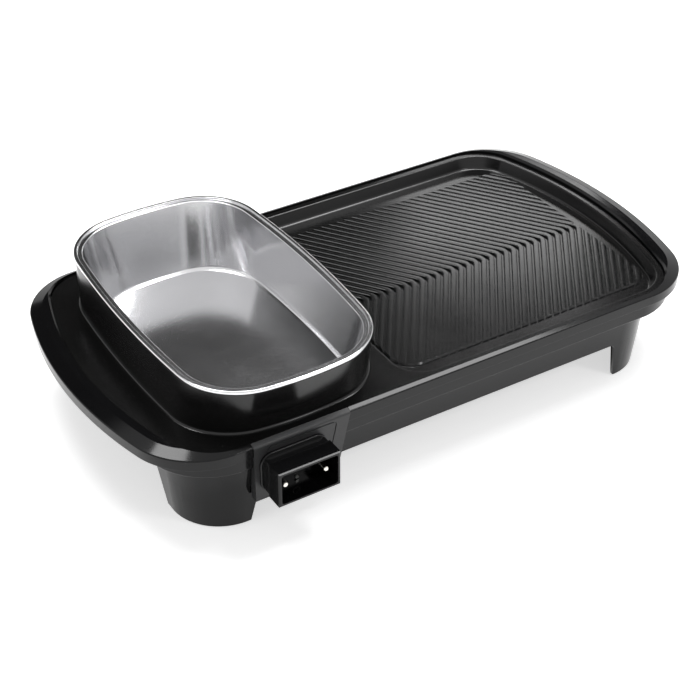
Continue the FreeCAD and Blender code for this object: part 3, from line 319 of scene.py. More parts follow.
@dataclass(frozen=True)
class Outline:
    """A rounded rectangle about y = 0 whose ends and sides may bow outwards."""

    left: float
    right: float
    half_y: float
    corner_left: float
    corner_right: float
    left_r: float | None = None
    right_r: float | None = None
    side_r: float | None = None
    end_steps: int = 12
    corner_steps: int = 20
    side_steps: int = 24

    def corner(self, reach: float, end_r: float | None,
               corner_r: float) -> tuple[float, float, float, float]:
        """Place the corner arc of one end, as if that end pointed along +X.

        Args:
            reach: distance from the middle to the end.
            end_r: radius of the bowed end, or None where it is straight.
            corner_r: radius of the corner.

        Returns:
            Centre x from the middle, centre y, and the angles at which it starts and stops.
        """
        if end_r is None:
            return reach - corner_r, self.half_y - corner_r, 0.0, math.pi / 2
        bow_x = reach - end_r
        if self.side_r is None:
            y = self.half_y - corner_r
            x = bow_x + math.sqrt((end_r - corner_r) ** 2 - y ** 2)
            return x, y, math.atan2(y, x - bow_x), math.pi / 2
        bow_y = self.half_y - self.side_r
        x, y = meet((bow_x, 0.0), end_r - corner_r, (0.0, bow_y), self.side_r - corner_r)
        return x, y, math.atan2(y, x - bow_x), math.atan2(y - bow_y, x)

    def runs(self) -> list[Arc | Line]:
        """List the arcs and lines round the outline, from the middle of its right end.

        A parallel outline has the same centres, angles and shifts, so one list serves every inset.

        Returns:
            The runs in order, anticlockwise.
        """
        middle = (self.left + self.right) / 2
        half_x = self.right - middle
        rx, ry, r_end, r_side = self.corner(half_x, self.right_r, self.corner_right)
        lx, ly, l_end, l_side = self.corner(half_x, self.left_r, self.corner_left)
        right_half = Line((0.0, ry)) if self.right_r is None else Arc(
            (self.right - self.right_r, 0.0), r_end, self.end_steps)
        left_whole = Line((0.0, -2 * ly)) if self.left_r is None else Arc(
            (self.left + self.left_r, 0.0), 2 * l_end, 2 * self.end_steps)
        if self.side_r is None:
            back = Line((-rx - lx, 0.0))
            front = Line((rx + lx, 0.0))
        else:
            sweep = math.pi - l_side - r_side
            back = Arc((middle, self.half_y - self.side_r), sweep, self.side_steps)
            front = Arc((middle, self.side_r - self.half_y), sweep, self.side_steps)
        return [right_half,
                Arc((middle + rx, ry), r_side - r_end, self.corner_steps), back,
                Arc((middle - lx, ly), l_side - l_end, self.corner_steps), left_whole,
                Arc((middle - lx, -ly), l_side - l_end, self.corner_steps), front,
                Arc((middle + rx, -ry), r_side - r_end, self.corner_steps), right_half]

    def sweep(self, profile: list[Pair]) -> None:
        """Draw a profile at the middle of the right end and sweep it round the outline.

        The swept skin is left selected. Two new vertex groups hold its first and its last outline.

        Args:
            profile: pairs of height and inset in millimetres.
        """
        z, inset = profile[0]
        bpy.ops.mesh.primitive_plane_add(size=MM, location=((self.right - inset) * MM, 0, z * MM))
        bpy.ops.mesh.merge(type="CENTER")
        bpy.ops.object.vertex_group_assign_new()
        for index, (next_z, next_inset) in enumerate(profile[1:]):
            bpy.ops.mesh.extrude_vertices_move(
                TRANSFORM_OT_translate={"value": ((inset - next_inset) * MM, 0, (next_z - z) * MM)})
            z, inset = next_z, next_inset
            if index == 0:
                bpy.ops.object.vertex_group_remove_from(use_all_groups=True)
        bpy.ops.object.vertex_group_assign_new()
        bpy.ops.mesh.select_linked()
        lone = len(profile) == 1
        draw_on = bpy.ops.mesh.extrude_vertices_move if lone else bpy.ops.mesh.extrude_edges_move
        for run in self.runs():
            if isinstance(run, Line):
                draw_on(TRANSFORM_OT_translate={"value": (run.shift[0] * MM, run.shift[1] * MM, 0)})
            else:
                bpy.ops.mesh.spin(steps=run.steps, angle=run.angle, axis=(0, 0, -1),
                                  center=(run.centre[0] * MM, run.centre[1] * MM, 0))
        bpy.ops.mesh.select_linked()
        bpy.ops.mesh.remove_doubles(threshold=MERGE_MM * MM)


def meet(a: Pair, reach_a: float, b: Pair, reach_b: float) -> Pair:
    """Find the point at given distances from two centres that lies farthest out from both axes.

    Args:
        a: first centre.
        reach_a: distance from the first centre.
        b: second centre.
        reach_b: distance from the second centre.

    Returns:
        The point's x and y.
    """
    dx = b[0] - a[0]
    dy = b[1] - a[1]
    apart = math.hypot(dx, dy)
    along = (reach_a ** 2 - reach_b ** 2 + apart ** 2) / (2 * apart)
    across = math.sqrt(reach_a ** 2 - along ** 2)
    foot = (a[0] + along * dx / apart, a[1] + along * dy / apart)
    choices = [(foot[0] + side * across * dy / apart, foot[1] - side * across * dx / apart)
               for side in (1, -1)]
    return max(choices, key=lambda point: point[0] + point[1])


@dataclass(frozen=True)
class Section:
    """One level outline of a lofted body."""

    outline: Outline
    z: float
    inset: float = 0.0


def rounding(outline: Outline, inset: float, z: float, radius: float, start: float, stop: float,
             steps: int) -> list[Section]:
    """Follow an arc of a body's profile from one way that its skin faces to another.

    Args:
        outline: outline that the profile runs along.
        inset: inset of the arc's centre.
        z: height of the arc's centre.
        radius: radius of the arc.
        start: first way, in degrees.
        stop: last way, in degrees.
        steps: number of steps between them.

    Returns:
        The sections on the arc, both ends included.
    """
    sections = []
    for step in range(steps + 1):
        angle = math.radians(start + (stop - start) * step / steps)
        sections.append(Section(outline, z + radius * math.sin(angle),
                                inset - radius * math.cos(angle)))
    return sections


def foot_edge(outline: Outline, z: float, radius: float, steps: int,
              inset: float = 0.0) -> list[Section]:
    """Round the edge between a level underside at z and the upright side above it."""
    return rounding(outline, inset + radius, z + radius, radius, DOWN, OUT, steps)


def top_edge(outline: Outline, z: float, radius: float, steps: int,
             inset: float = 0.0) -> list[Section]:
    """Round the edge between a level top at z and the upright side below it."""
    return rounding(outline, inset + radius, z - radius, radius, OUT, UP, steps)


def deselect() -> None:
    """Deselect every object."""
    bpy.ops.object.select_all(action="DESELECT")


def pick(*pieces: bpy.types.Object) -> None:
    """Select only these objects and make the first one active.

    Args:
        pieces: the objects.
    """
    deselect()
    for piece in pieces:
        piece.select_set(True)
    bpy.context.view_layer.objects.active = pieces[0]


@contextmanager
def editing(piece: bpy.types.Object, element: Element) -> Iterator[None]:
    """Open a mesh with nothing selected in it, and close it afterwards.

    Args:
        piece: the object.
        element: what the editor picks.

    Returns:
        A context in which the mesh stays open.
    """
    pick(piece)
    bpy.ops.object.mode_set(mode="EDIT")
    bpy.ops.mesh.select_mode(type=element.value[0])
    bpy.ops.mesh.select_all(action="DESELECT")
    yield
    bpy.ops.object.mode_set(mode="OBJECT")


def mark(piece: bpy.types.Object, element: Element, chosen: Callable[..., bool]) -> None:
    """Select those elements of an open mesh that pass a test, and no others.

    Args:
        piece: the object.
        element: what is tested.
        chosen: takes a corner, an edge or a face of the mesh.
    """
    bpy.ops.object.mode_set(mode="OBJECT")
    for item in getattr(piece.data, element.value[1]):
        item.select = chosen(item)
    bpy.ops.object.mode_set(mode="EDIT")


def both_ends(piece: bpy.types.Object, edge: bpy.types.MeshEdge) -> list[Vector]:
    """Places of both ends of an edge in millimetres."""
    return [piece.data.vertices[index].co / MM for index in edge.vertices]


def bake_place(piece: bpy.types.Object) -> bpy.types.Object:
    """Move an object's place, turn and size into its mesh.

    Args:
        piece: the object.

    Returns:
        The same object.
    """
    pick(piece)
    bpy.ops.object.transform_apply(location=True, rotation=True, scale=True)
    return piece


def apply_modifier(piece: bpy.types.Object, kind: str, **settings: object) -> None:
    """Put one modifier on an object and apply it at once.

    Args:
        piece: the object.
        kind: type of the modifier.
        settings: properties of the modifier.
    """
    pick(piece)
    modifier = piece.modifiers.new(kind.lower(), kind)
    for key, value in settings.items():
        setattr(modifier, key, value)
    bpy.ops.object.modifier_apply(modifier=modifier.name)


def select_group(piece: bpy.types.Object, index: int) -> None:
    """Add the corners of one vertex group to the selection."""
    piece.vertex_groups.active_index = index
    bpy.ops.object.vertex_group_select()


def loft(name: str, sections: list[Section]) -> bpy.types.Object:
    """Stretch a closed skin over level outlines, flat at both ends.

    Neighbours with the same outline are swept as one profile; where the outline changes, the two
    rings are bridged.

    Args:
        name: name of the new object.
        sections: outlines in order along the profile, all with the same runs.

    Returns:
        The new object.
    """
    piece = bpy.data.objects.new(name, bpy.data.meshes.new(name))
    bpy.context.scene.collection.objects.link(piece)
    stretches = [(outline, list(run)) for outline, run in groupby(sections, lambda item: item.outline)]
    last = 2 * len(stretches) - 1
    with editing(piece, Element.CORNER):
        for outline, run in stretches:
            bpy.ops.mesh.select_all(action="DESELECT")
            outline.sweep([(section.z, section.inset) for section in run])
        for stop in range(1, last, 2):
            bpy.ops.mesh.select_all(action="DESELECT")
            select_group(piece, stop)
            select_group(piece, stop + 1)
            bpy.ops.mesh.bridge_edge_loops()
        for ring in (0, last):
            bpy.ops.mesh.select_all(action="DESELECT")
            select_group(piece, ring)
            bpy.ops.mesh.edge_face_add()
        bpy.ops.mesh.select_all(action="SELECT")
        bpy.ops.mesh.normals_make_consistent(inside=False)
        bpy.ops.object.vertex_group_remove(all=True)
    return piece


def block(name: str, x: Pair, y: Pair, z: Pair) -> bpy.types.Object:
    """Add a box between pairs of coordinates in millimetres.

    Args:
        name: name of the new object.
        x: low and high x.
        y: low and high y.
        z: low and high z.

    Returns:
        The new object, with its place in its mesh.
    """
    deselect()
    middle = [(low + high) / 2 * MM for low, high in (x, y, z)]
    bpy.ops.mesh.primitive_cube_add(size=1, location=middle)
    piece = bpy.context.object
    piece.name = name
    piece.scale = [(high - low) * MM for low, high in (x, y, z)]
    return bake_place(piece)


def peg(name: str, middle: tuple[float, float, float], length: float, radius: float, corners: int,
        tilt: float = 0.0) -> bpy.types.Object:
    """Add a cylinder, with its sizes in millimetres.

    Args:
        name: name of the new object.
        middle: its middle.
        length: its length.
        radius: its radius.
        corners: corners of its outline.
        tilt: turn about X away from upright, in radians.

    Returns:
        The new object, with its place in its mesh.
    """
    deselect()
    bpy.ops.mesh.primitive_cylinder_add(
        vertices=corners, radius=radius * MM, depth=length * MM, rotation=(tilt, 0, 0),
        location=[measure * MM for measure in middle])
    piece = bpy.context.object
    piece.name = name
    return bake_place(piece)


def join(pieces: list[bpy.types.Object]) -> bpy.types.Object:
    """Join objects into one.

    Args:
        pieces: the objects, of which the first one takes in the others.

    Returns:
        The first object.
    """
    pick(*pieces)
    bpy.ops.object.join()
    return pieces[0]


def combine(piece: bpy.types.Object, tool: bpy.types.Object, cut: Cut) -> bpy.types.Object:
    """Act on one solid with another, which is used up.

    Args:
        piece: the solid that stays.
        tool: the solid that acts on it.
        cut: what the tool does.

    Returns:
        The solid that stays.
    """
    apply_modifier(piece, "BOOLEAN", operation=cut.value, object=tool, solver="EXACT")
    bpy.data.objects.remove(tool)
    return piece


def copy_of(piece: bpy.types.Object, x: float = 0.0, y: float = 0.0) -> bpy.types.Object:
    """Copy an object with its own mesh and move the copy by millimetres.

    Args:
        piece: the object to copy.
        x: shift along X.
        y: shift along Y.

    Returns:
        The copy, with its place in its mesh.
    """
    pick(piece)
    bpy.ops.object.duplicate(linked=False)
    bpy.ops.transform.translate(value=(x * MM, y * MM, 0))
    return bake_place(bpy.context.object)


def shift_corners(piece: bpy.types.Object, chosen: Callable[[Vector], bool],
                  shift: tuple[float, float, float]) -> None:
    """Move some corners of a mesh by millimetres.

    Args:
        piece: the object.
        chosen: takes a corner's place in millimetres and says whether it moves.
        shift: how far it moves.
    """
    with editing(piece, Element.CORNER):
        mark(piece, Element.CORNER, lambda corner: chosen(corner.co / MM))
        bpy.ops.transform.translate(value=Vector(shift) * MM)


def bevel_edges(piece: bpy.types.Object, chosen: Callable[[Vector, Vector], bool], radius: float,
                segments: int) -> None:
    """Round some edges of a mesh.

    Args:
        piece: the object.
        chosen: takes both ends of an edge in millimetres and says whether it is rounded.
        radius: radius of the rounding.
        segments: flats on the rounding.
    """
    with editing(piece, Element.EDGE):
        mark(piece, Element.EDGE, lambda edge: chosen(*both_ends(piece, edge)))
        bpy.ops.mesh.bevel(offset=radius * MM, segments=segments, affect="EDGES", clamp_overlap=True)


def soften(piece: bpy.types.Object, radius: float, below: float = math.inf) -> None:
    """Round every sharp edge.

    Args:
        piece: the object.
        radius: radius of the rounding in millimetres.
        below: height from which the edges stay sharp.
    """
    with editing(piece, Element.EDGE):
        bpy.ops.mesh.edges_select_sharp(sharpness=math.radians(SHARP_DEGREES))
        mark(piece, Element.EDGE,
             lambda edge: edge.select and min(end.z for end in both_ends(piece, edge)) < below)
        bpy.ops.mesh.bevel(offset=radius * MM, segments=SOFT_FLATS, affect="EDGES",
                           clamp_overlap=True)


def settle(piece: bpy.types.Object, finish: Finish, body: Body, slot: str, *nodes: str,
           smooth_angle: float = 35.0, shift: float = MIDDLE_SHIFT) -> None:
    """Finish a piece: even normals, its place in the part's frame, its material and its body.

    Args:
        piece: the object.
        finish: its surface.
        body: the body that it moves with.
        slot: material slot of the record; not used.
        nodes: nodes of the solid model that it stands in for.
        smooth_angle: edges sharper than this stay sharp, in degrees.
        shift: way along Y from where it was drawn to its place in the part's frame.
    """
    with editing(piece, Element.CORNER):
        bpy.ops.mesh.select_all(action="SELECT")
        bpy.ops.mesh.remove_doubles(threshold=MERGE_MM * MM)
        bpy.ops.mesh.normals_make_consistent(inside=False)
    bpy.ops.transform.translate(value=(0, shift * MM, 0))
    bake_place(piece)
    bpy.ops.object.shade_smooth_by_angle(angle=math.radians(smooth_angle))
    apply_modifier(piece, "WEIGHTED_NORMAL", keep_sharp=True)
    piece.data.materials.clear()
    piece.data.materials.append(finish.material())
    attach(piece, body.value)
    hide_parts(*nodes)
    LOG.info("%s: %d faces", piece.name, len(piece.data.polygons))


# Sizes that several pieces share


@dataclass(frozen=True)
class Plan:
    """Sizes that several pieces follow, in millimetres."""

    half_length: float = 284.48
    half_depth: float = 153.0
    end_r: float = 396.0
    corner: float = 65.0
    shelf_z: float = 63.0
    shell_floor_z: float = 40.0
    parting_z: float = 75.5
    lip_z: float = 85.0
    ridge_z: float = 88.8
    seat_z: float = 81.5
    flange_z: float = 84.5
    opening_end: float = 19.5
    opening_side: float = 4.1
    opening_corner: float = 45.0
    jacket_top_z: float = 128.4
    rim_z: float = 131.7
    wall: float = 2.5
    panel_left: float = -194.0
    panel_right: float = -106.5
    panel_lean: float = 0.2286
    panel_face_y: float = -154.0
    inlet_x: float = -159.5
    inlet_z: float = 57.3
    window_half_x: float = 24.2
    window_half_z: float = 8.2
    pin_spacing: float = 37.0
    gap: float = 0.4

    def frame(self) -> Outline:
        """Outside of the upper frame."""
        return Outline(-self.half_length, self.half_length, self.half_depth, self.corner, self.corner,
                       self.end_r, self.end_r)

    def opening(self) -> Outline:
        """Outline the opening of the frame that the casting lies in.

        Returns:
            An outline parallel to the frame's ends.
        """
        reach = self.half_length - self.opening_end
        bow = self.end_r - self.opening_end
        return Outline(-reach, reach, self.half_depth - self.opening_side, self.opening_corner,
                       self.opening_corner, bow, bow)


PLAN = Plan()


# Pot


@dataclass
class Pot:
    """Polished steel pot with a flat rim and a narrow ledge inside it."""

    x: float = -141.0
    half_x: float = 90.5
    half_y: float = 148.5
    corner: float = 58.0
    end_r: float = 1000.0
    side_r: float = 290.0
    foot_half_x: float = 80.5
    foot_half_y: float = 125.0
    foot_z: float = 67.0
    foot_round: float = 5.0
    sheet: float = 1.0
    rim_width: float = 3.5
    rim_round: float = 1.2
    edge_round: float = 0.6
    lip_round: float = 0.5
    ledge_width: float = 4.5
    ledge_drop: float = 1.7
    ledge_round: float = 1.0

    def outline(self, half_x: float, half_y: float) -> Outline:
        """Outline about the pot's middle with given half sizes."""
        return Outline(self.x - half_x, self.x + half_x, half_y, self.corner, self.corner,
                       self.end_r, self.end_r, self.side_r)

    def profile(self) -> list[Section]:
        """Follow the sheet from under the foot, over the rim and down to the floor inside.

        Returns:
            The sections of the whole pot.
        """
        rim = self.outline(self.half_x, self.half_y)
        foot = self.outline(self.foot_half_x, self.foot_half_y)
        top = PLAN.rim_z
        under = PLAN.jacket_top_z + PLAN.gap
        ledge_z = top - self.ledge_drop
        ledge_end = self.rim_width + self.ledge_width
        sections = foot_edge(foot, self.foot_z, self.foot_round, steps=7)
        sections.append(Section(rim, under, ledge_end - self.sheet))
        sections += foot_edge(rim, under, self.edge_round, steps=3)
        sections += top_edge(rim, top, self.rim_round, steps=6)
        sections += rounding(rim, self.rim_width - self.lip_round, top - self.lip_round, self.lip_round,
                             UP, IN, steps=4)
        sections += rounding(rim, self.rim_width + self.lip_round, ledge_z + self.lip_round,
                             self.lip_round, OUT, DOWN, steps=3)
        sections += rounding(rim, ledge_end - self.ledge_round, ledge_z - self.ledge_round,
                             self.ledge_round, UP, IN, steps=5)
        sections += rounding(foot, self.foot_round, self.foot_z + self.foot_round,
                             self.foot_round - self.sheet, OUT, DOWN, steps=7)
        return sections

    def build(self) -> None:
        """Model the pot."""
        settle(loft("steel_pot", self.profile()), POLISHED_STEEL, Body.POT, "polished_steel",
               "inner_pot", smooth_angle=60.0)


# Casting


@dataclass
class Casting:
    """Coated casting: flange, ribbed grill well and the jacket that the pot drops into."""

    pot: Pot = field(default_factory=Pot)
    overhang: float = 0.8
    base_out: float = 2.3
    base_in: float = 9.7
    foot_in_x: float = 4.0
    foot_in_y: float = 5.5
    jacket_wall: float = 3.0
    jacket_floor_z: float = 61.0
    jacket_floor: float = 3.5
    cove: float = 2.5
    cove_spare: float = 0.4
    well_left: float = -41.5
    well_right: float = 258.0
    well_half_y: float = 141.5
    well_corner_left: float = 28.0
    well_corner_right: float = 40.0
    well_depth: float = 12.0
    well_slope: float = 4.0
    well_floor: float = 4.0
    floor_round: float = 3.0
    brim_round: float = 1.2
    edge_round: float = 0.8
    # Last angle of the rounding under the well, first angle of the cove, last angle of the brim.
    under_turn: float = -10.0
    cove_turn: float = 262.0
    brim_turn: float = 97.0
    # How far the cutters of the well and of the jacket spread above the casting.
    well_flare: float = 9.6
    jacket_flare: float = 0.5

    def jacket(self, z: float) -> Outline:
        """Outline the outside of the jacket, whose walls lean from foot to flange and again to the top.

        Args:
            z: height.

        Returns:
            The outline at that height.
        """
        top = (self.pot.half_x - self.overhang, self.pot.half_y - self.overhang)
        base = (top[0] + self.base_out, top[1] - self.base_in)
        foot = (base[0] - self.foot_in_x, base[1] - self.foot_in_y)
        if z > PLAN.flange_z:
            low, high = base, top
            share = (z - PLAN.flange_z) / (PLAN.jacket_top_z - PLAN.flange_z)
        else:
            low, high = foot, base
            share = (z - self.jacket_floor_z) / (PLAN.flange_z - self.jacket_floor_z)
        return self.pot.outline(low[0] + (high[0] - low[0]) * share,
                                low[1] + (high[1] - low[1]) * share)

    def well(self) -> Outline:
        """Outline the grill well at the flange.

        Returns:
            The outline, with a bow at its right end.
        """
        bow = PLAN.end_r - (PLAN.half_length - self.well_right)
        return Outline(self.well_left, self.well_right, self.well_half_y, self.well_corner_left,
                       self.well_corner_right, None, bow)

    def flange(self) -> bpy.types.Object:
        """Model the flat flange that rests on the ledge of the frame.

        Returns:
            The flange, to which the rest of the casting is joined.
        """
        edge = PLAN.opening()
        sections = [Section(edge, PLAN.seat_z, PLAN.gap)]
        sections += top_edge(edge, PLAN.flange_z, self.edge_round, steps=4, inset=PLAN.gap)
        return loft("coated_plate", sections)

    def wall_inset(self, z: float) -> float:
        """Inset of the sloping well wall at a height."""
        return self.well_slope * (PLAN.flange_z - z) / self.well_depth

    def well_body(self) -> bpy.types.Object:
        """Model the outside of the well, below the flange.

        Returns:
            The body, solid.
        """
        under = PLAN.flange_z - self.well_depth - self.well_floor
        start = self.wall_inset(under) - PLAN.wall
        top = PLAN.flange_z - PAST
        sections = rounding(self.well(), start + self.floor_round, under + self.floor_round,
                            self.floor_round, DOWN, self.under_turn, steps=4)
        sections.append(Section(self.well(), top, self.wall_inset(top) - PLAN.wall))
        return loft("well_body", sections)

    def well_cavity(self) -> bpy.types.Object:
        """Model the inside of the well, with its rounded floor edge and its rounded brim.

        Returns:
            The space, as a solid to be taken away.
        """
        lean = math.atan2(self.well_slope, self.well_depth)
        floor_z = PLAN.flange_z - self.well_depth
        low_z = floor_z + self.floor_round
        low = self.wall_inset(low_z) + self.floor_round / math.cos(lean)
        high_z = PLAN.flange_z - self.brim_round
        high = self.wall_inset(high_z) - self.brim_round / math.cos(lean)
        sections = rounding(self.well(), low, low_z, self.floor_round, DOWN, OUT - math.degrees(lean),
                            steps=5)
        sections += rounding(self.well(), high, high_z, self.brim_round, IN - math.degrees(lean),
                             self.brim_turn, steps=4)
        edge = sections[-1]
        sections.append(replace(edge, z=edge.z + self.brim_round, inset=edge.inset - self.well_flare))
        return loft("well_cavity", sections)

    def jacket_body(self) -> bpy.types.Object:
        """Model the outside of the jacket, with the cove round its foot.

        Returns:
            The body, solid.
        """
        base_z = PLAN.flange_z
        foot = self.jacket(self.jacket_floor_z)
        base = self.jacket(base_z)
        sections = foot_edge(foot, self.jacket_floor_z, self.floor_round, steps=4)
        sections += [Section(base, base_z - 2 * PAST),
                     Section(base, base_z - PAST, -self.cove - self.cove_spare)]
        sections += rounding(base, -self.cove, base_z + self.cove, self.cove, self.cove_turn, IN,
                             steps=6)
        top = self.jacket(PLAN.jacket_top_z)
        sections += top_edge(top, PLAN.jacket_top_z, self.edge_round, steps=3)
        return loft("jacket_body", sections)

    def jacket_cavity(self) -> bpy.types.Object:
        """Model the inside of the jacket.

        Returns:
            The space, as a solid to be taken away.
        """
        floor_z = self.jacket_floor_z + self.jacket_floor
        sections = foot_edge(self.jacket(floor_z), floor_z, self.floor_round, steps=4,
                             inset=self.jacket_wall)
        for z in (PLAN.flange_z, PLAN.jacket_top_z):
            sections.append(Section(self.jacket(z), z, self.jacket_wall))
        sections.append(Section(self.jacket(PLAN.jacket_top_z), PLAN.jacket_top_z + PAST,
                                self.jacket_wall - self.jacket_flare))
        return loft("jacket_cavity", sections)

    def build(self) -> None:
        """Model the casting and its ribs."""
        plate = self.flange()
        combine(plate, self.well_body(), Cut.ADD)
        combine(plate, self.jacket_body(), Cut.ADD)
        combine(plate, self.well_cavity(), Cut.TAKE)
        combine(plate, self.jacket_cavity(), Cut.TAKE)
        plate = join([plate, Ribs(self).build(), Bosses().build()])
        settle(plate, COATED_CASTING, Body.TOP, "coated_casting", "cooking_plate", smooth_angle=40.0)


@dataclass
class Ribs:
    """Chevron ribs on the floor of the grill well."""

    casting: Casting
    pitch: float = 8.5
    width: float = 5.5
    height: float = 2.0
    sunk: float = 0.5
    half_angle: float = 55.0
    apex_y: float = -10.0
    apex_r: float = 9.0
    margin_left: float = 10.0
    margin_right: float = 20.0
    margin_side: float = 24.5
    zone_corner: float = 20.0
    top_round: float = 1.0
    # Half length of the block from which both arms grow, and the flats round the apex.
    seed: float = 0.5
    apex_steps: int = 7
    # The ribs' ends are upright up to the first height and then drawn in by the slope's width.
    end_upright: float = 0.6
    end_slope: float = 1.6
    end_spare: float = 0.2

    def zone(self) -> Outline:
        """Outline the ribbed part of the floor.

        Returns:
            The outline, with straight sides and round corners.
        """
        well = self.casting
        return Outline(well.well_left + self.margin_left, well.well_right - self.margin_right,
                       well.well_half_y - self.margin_side, self.zone_corner, self.zone_corner)

    def chevron(self, apex_x: float) -> bpy.types.Object:
        """Model one chevron: its section drawn along one arm, round the apex and along the other.

        Args:
            apex_x: x of the apex.

        Returns:
            The new object.
        """
        angle = math.radians(self.half_angle)
        floor_z = PLAN.flange_z - self.casting.well_depth
        low = floor_z - self.sunk
        high = floor_z + self.height
        centre_x = apex_x - self.apex_r
        rib = block("rib", (apex_x - self.width / 2, apex_x + self.width / 2),
                    (self.apex_y - self.seed, self.apex_y + self.seed), (low, high))
        bevel_edges(rib, lambda a, b: min(a.z, b.z) > high - NEAR and abs(a.x - b.x) < NEAR,
                    self.top_round, segments=4)
        length = 2 * self.casting.well_half_y
        with editing(rib, Element.FACE):
            for side in (1, -1):
                bpy.ops.mesh.select_all(action="DESELECT")
                mark(rib, Element.FACE, lambda face: face.normal.y * side > FACING)
                bpy.ops.mesh.spin(steps=self.apex_steps, angle=side * (math.pi / 2 - angle),
                                  axis=(0, 0, -1), center=(centre_x * MM, self.apex_y * MM, low * MM))
                bpy.ops.mesh.extrude_region_move(TRANSFORM_OT_translate={
                    "value": (-math.cos(angle) * length * MM, side * math.sin(angle) * length * MM, 0)})
        return rib

    def build(self) -> bpy.types.Object:
        """Model all chevrons, trimmed to the ribbed zone.

        Returns:
            The ribs as one object.
        """
        zone = self.zone()
        floor_z = PLAN.flange_z - self.casting.well_depth
        fall = zone.half_y / math.tan(math.radians(self.half_angle))
        count = int((zone.right - zone.left + fall) / self.pitch) + 1
        first = self.chevron(zone.left + self.pitch / 2)
        ribs = join([first] + [copy_of(first, self.pitch * index) for index in range(1, count)])
        limit = loft("rib_zone", [
            Section(zone, floor_z - PAST), Section(zone, floor_z + self.end_upright),
            Section(zone, floor_z + self.height + self.end_spare, self.end_slope)])
        return combine(ribs, limit, Cut.KEEP)


@dataclass
class Bosses:
    """Bosses under the casting that the clamps and the earth strap are screwed to."""

    radius: float = 3.5
    spread: float = 11.0
    corners: int = 32
    pot_clamps_x: tuple[Pair, ...] = ((-195.5, 0.0), (-86.5, 0.0))
    pot_clamps_y: tuple[Pair, ...] = ((-141.0, 84.0),)
    grill_clamps_x: tuple[Pair, ...] = ((-24.2, 0.0),)
    grill_clamps_y: tuple[Pair, ...] = ((108.9, -99.9), (108.9, -35.0), (108.9, 35.0), (108.9, 99.9))
    pot_level: Pair = (53.6, 61.5)
    grill_level: Pair = (61.1, 69.0)
    earth_place: Pair = (-149.5, -124.0)
    earth_level: Pair = (58.0, 61.5)
    earth_radius: float = 4.5

    def boss(self, x: float, y: float, level: Pair, radius: float) -> bpy.types.Object:
        """Model one boss at a place between two heights."""
        return peg("boss", (x, y, sum(level) / 2), level[1] - level[0], radius, self.corners)

    def build(self) -> bpy.types.Object:
        """Model a pair of bosses at each clamp and the one for the earth screw.

        Returns:
            The bosses as one object.
        """
        bosses = [self.boss(*self.earth_place, self.earth_level, self.earth_radius)]
        rows = ((self.pot_clamps_x, self.pot_level, (1, 0)),
                (self.pot_clamps_y, self.pot_level, (0, 1)),
                (self.grill_clamps_x, self.grill_level, (1, 0)),
                (self.grill_clamps_y, self.grill_level, (0, 1)))
        for places, level, way in rows:
            for x, y in places:
                for side in (-self.spread, self.spread):
                    bosses.append(self.boss(x + side * way[0], y + side * way[1], level, self.radius))
        return join(bosses)


# Base


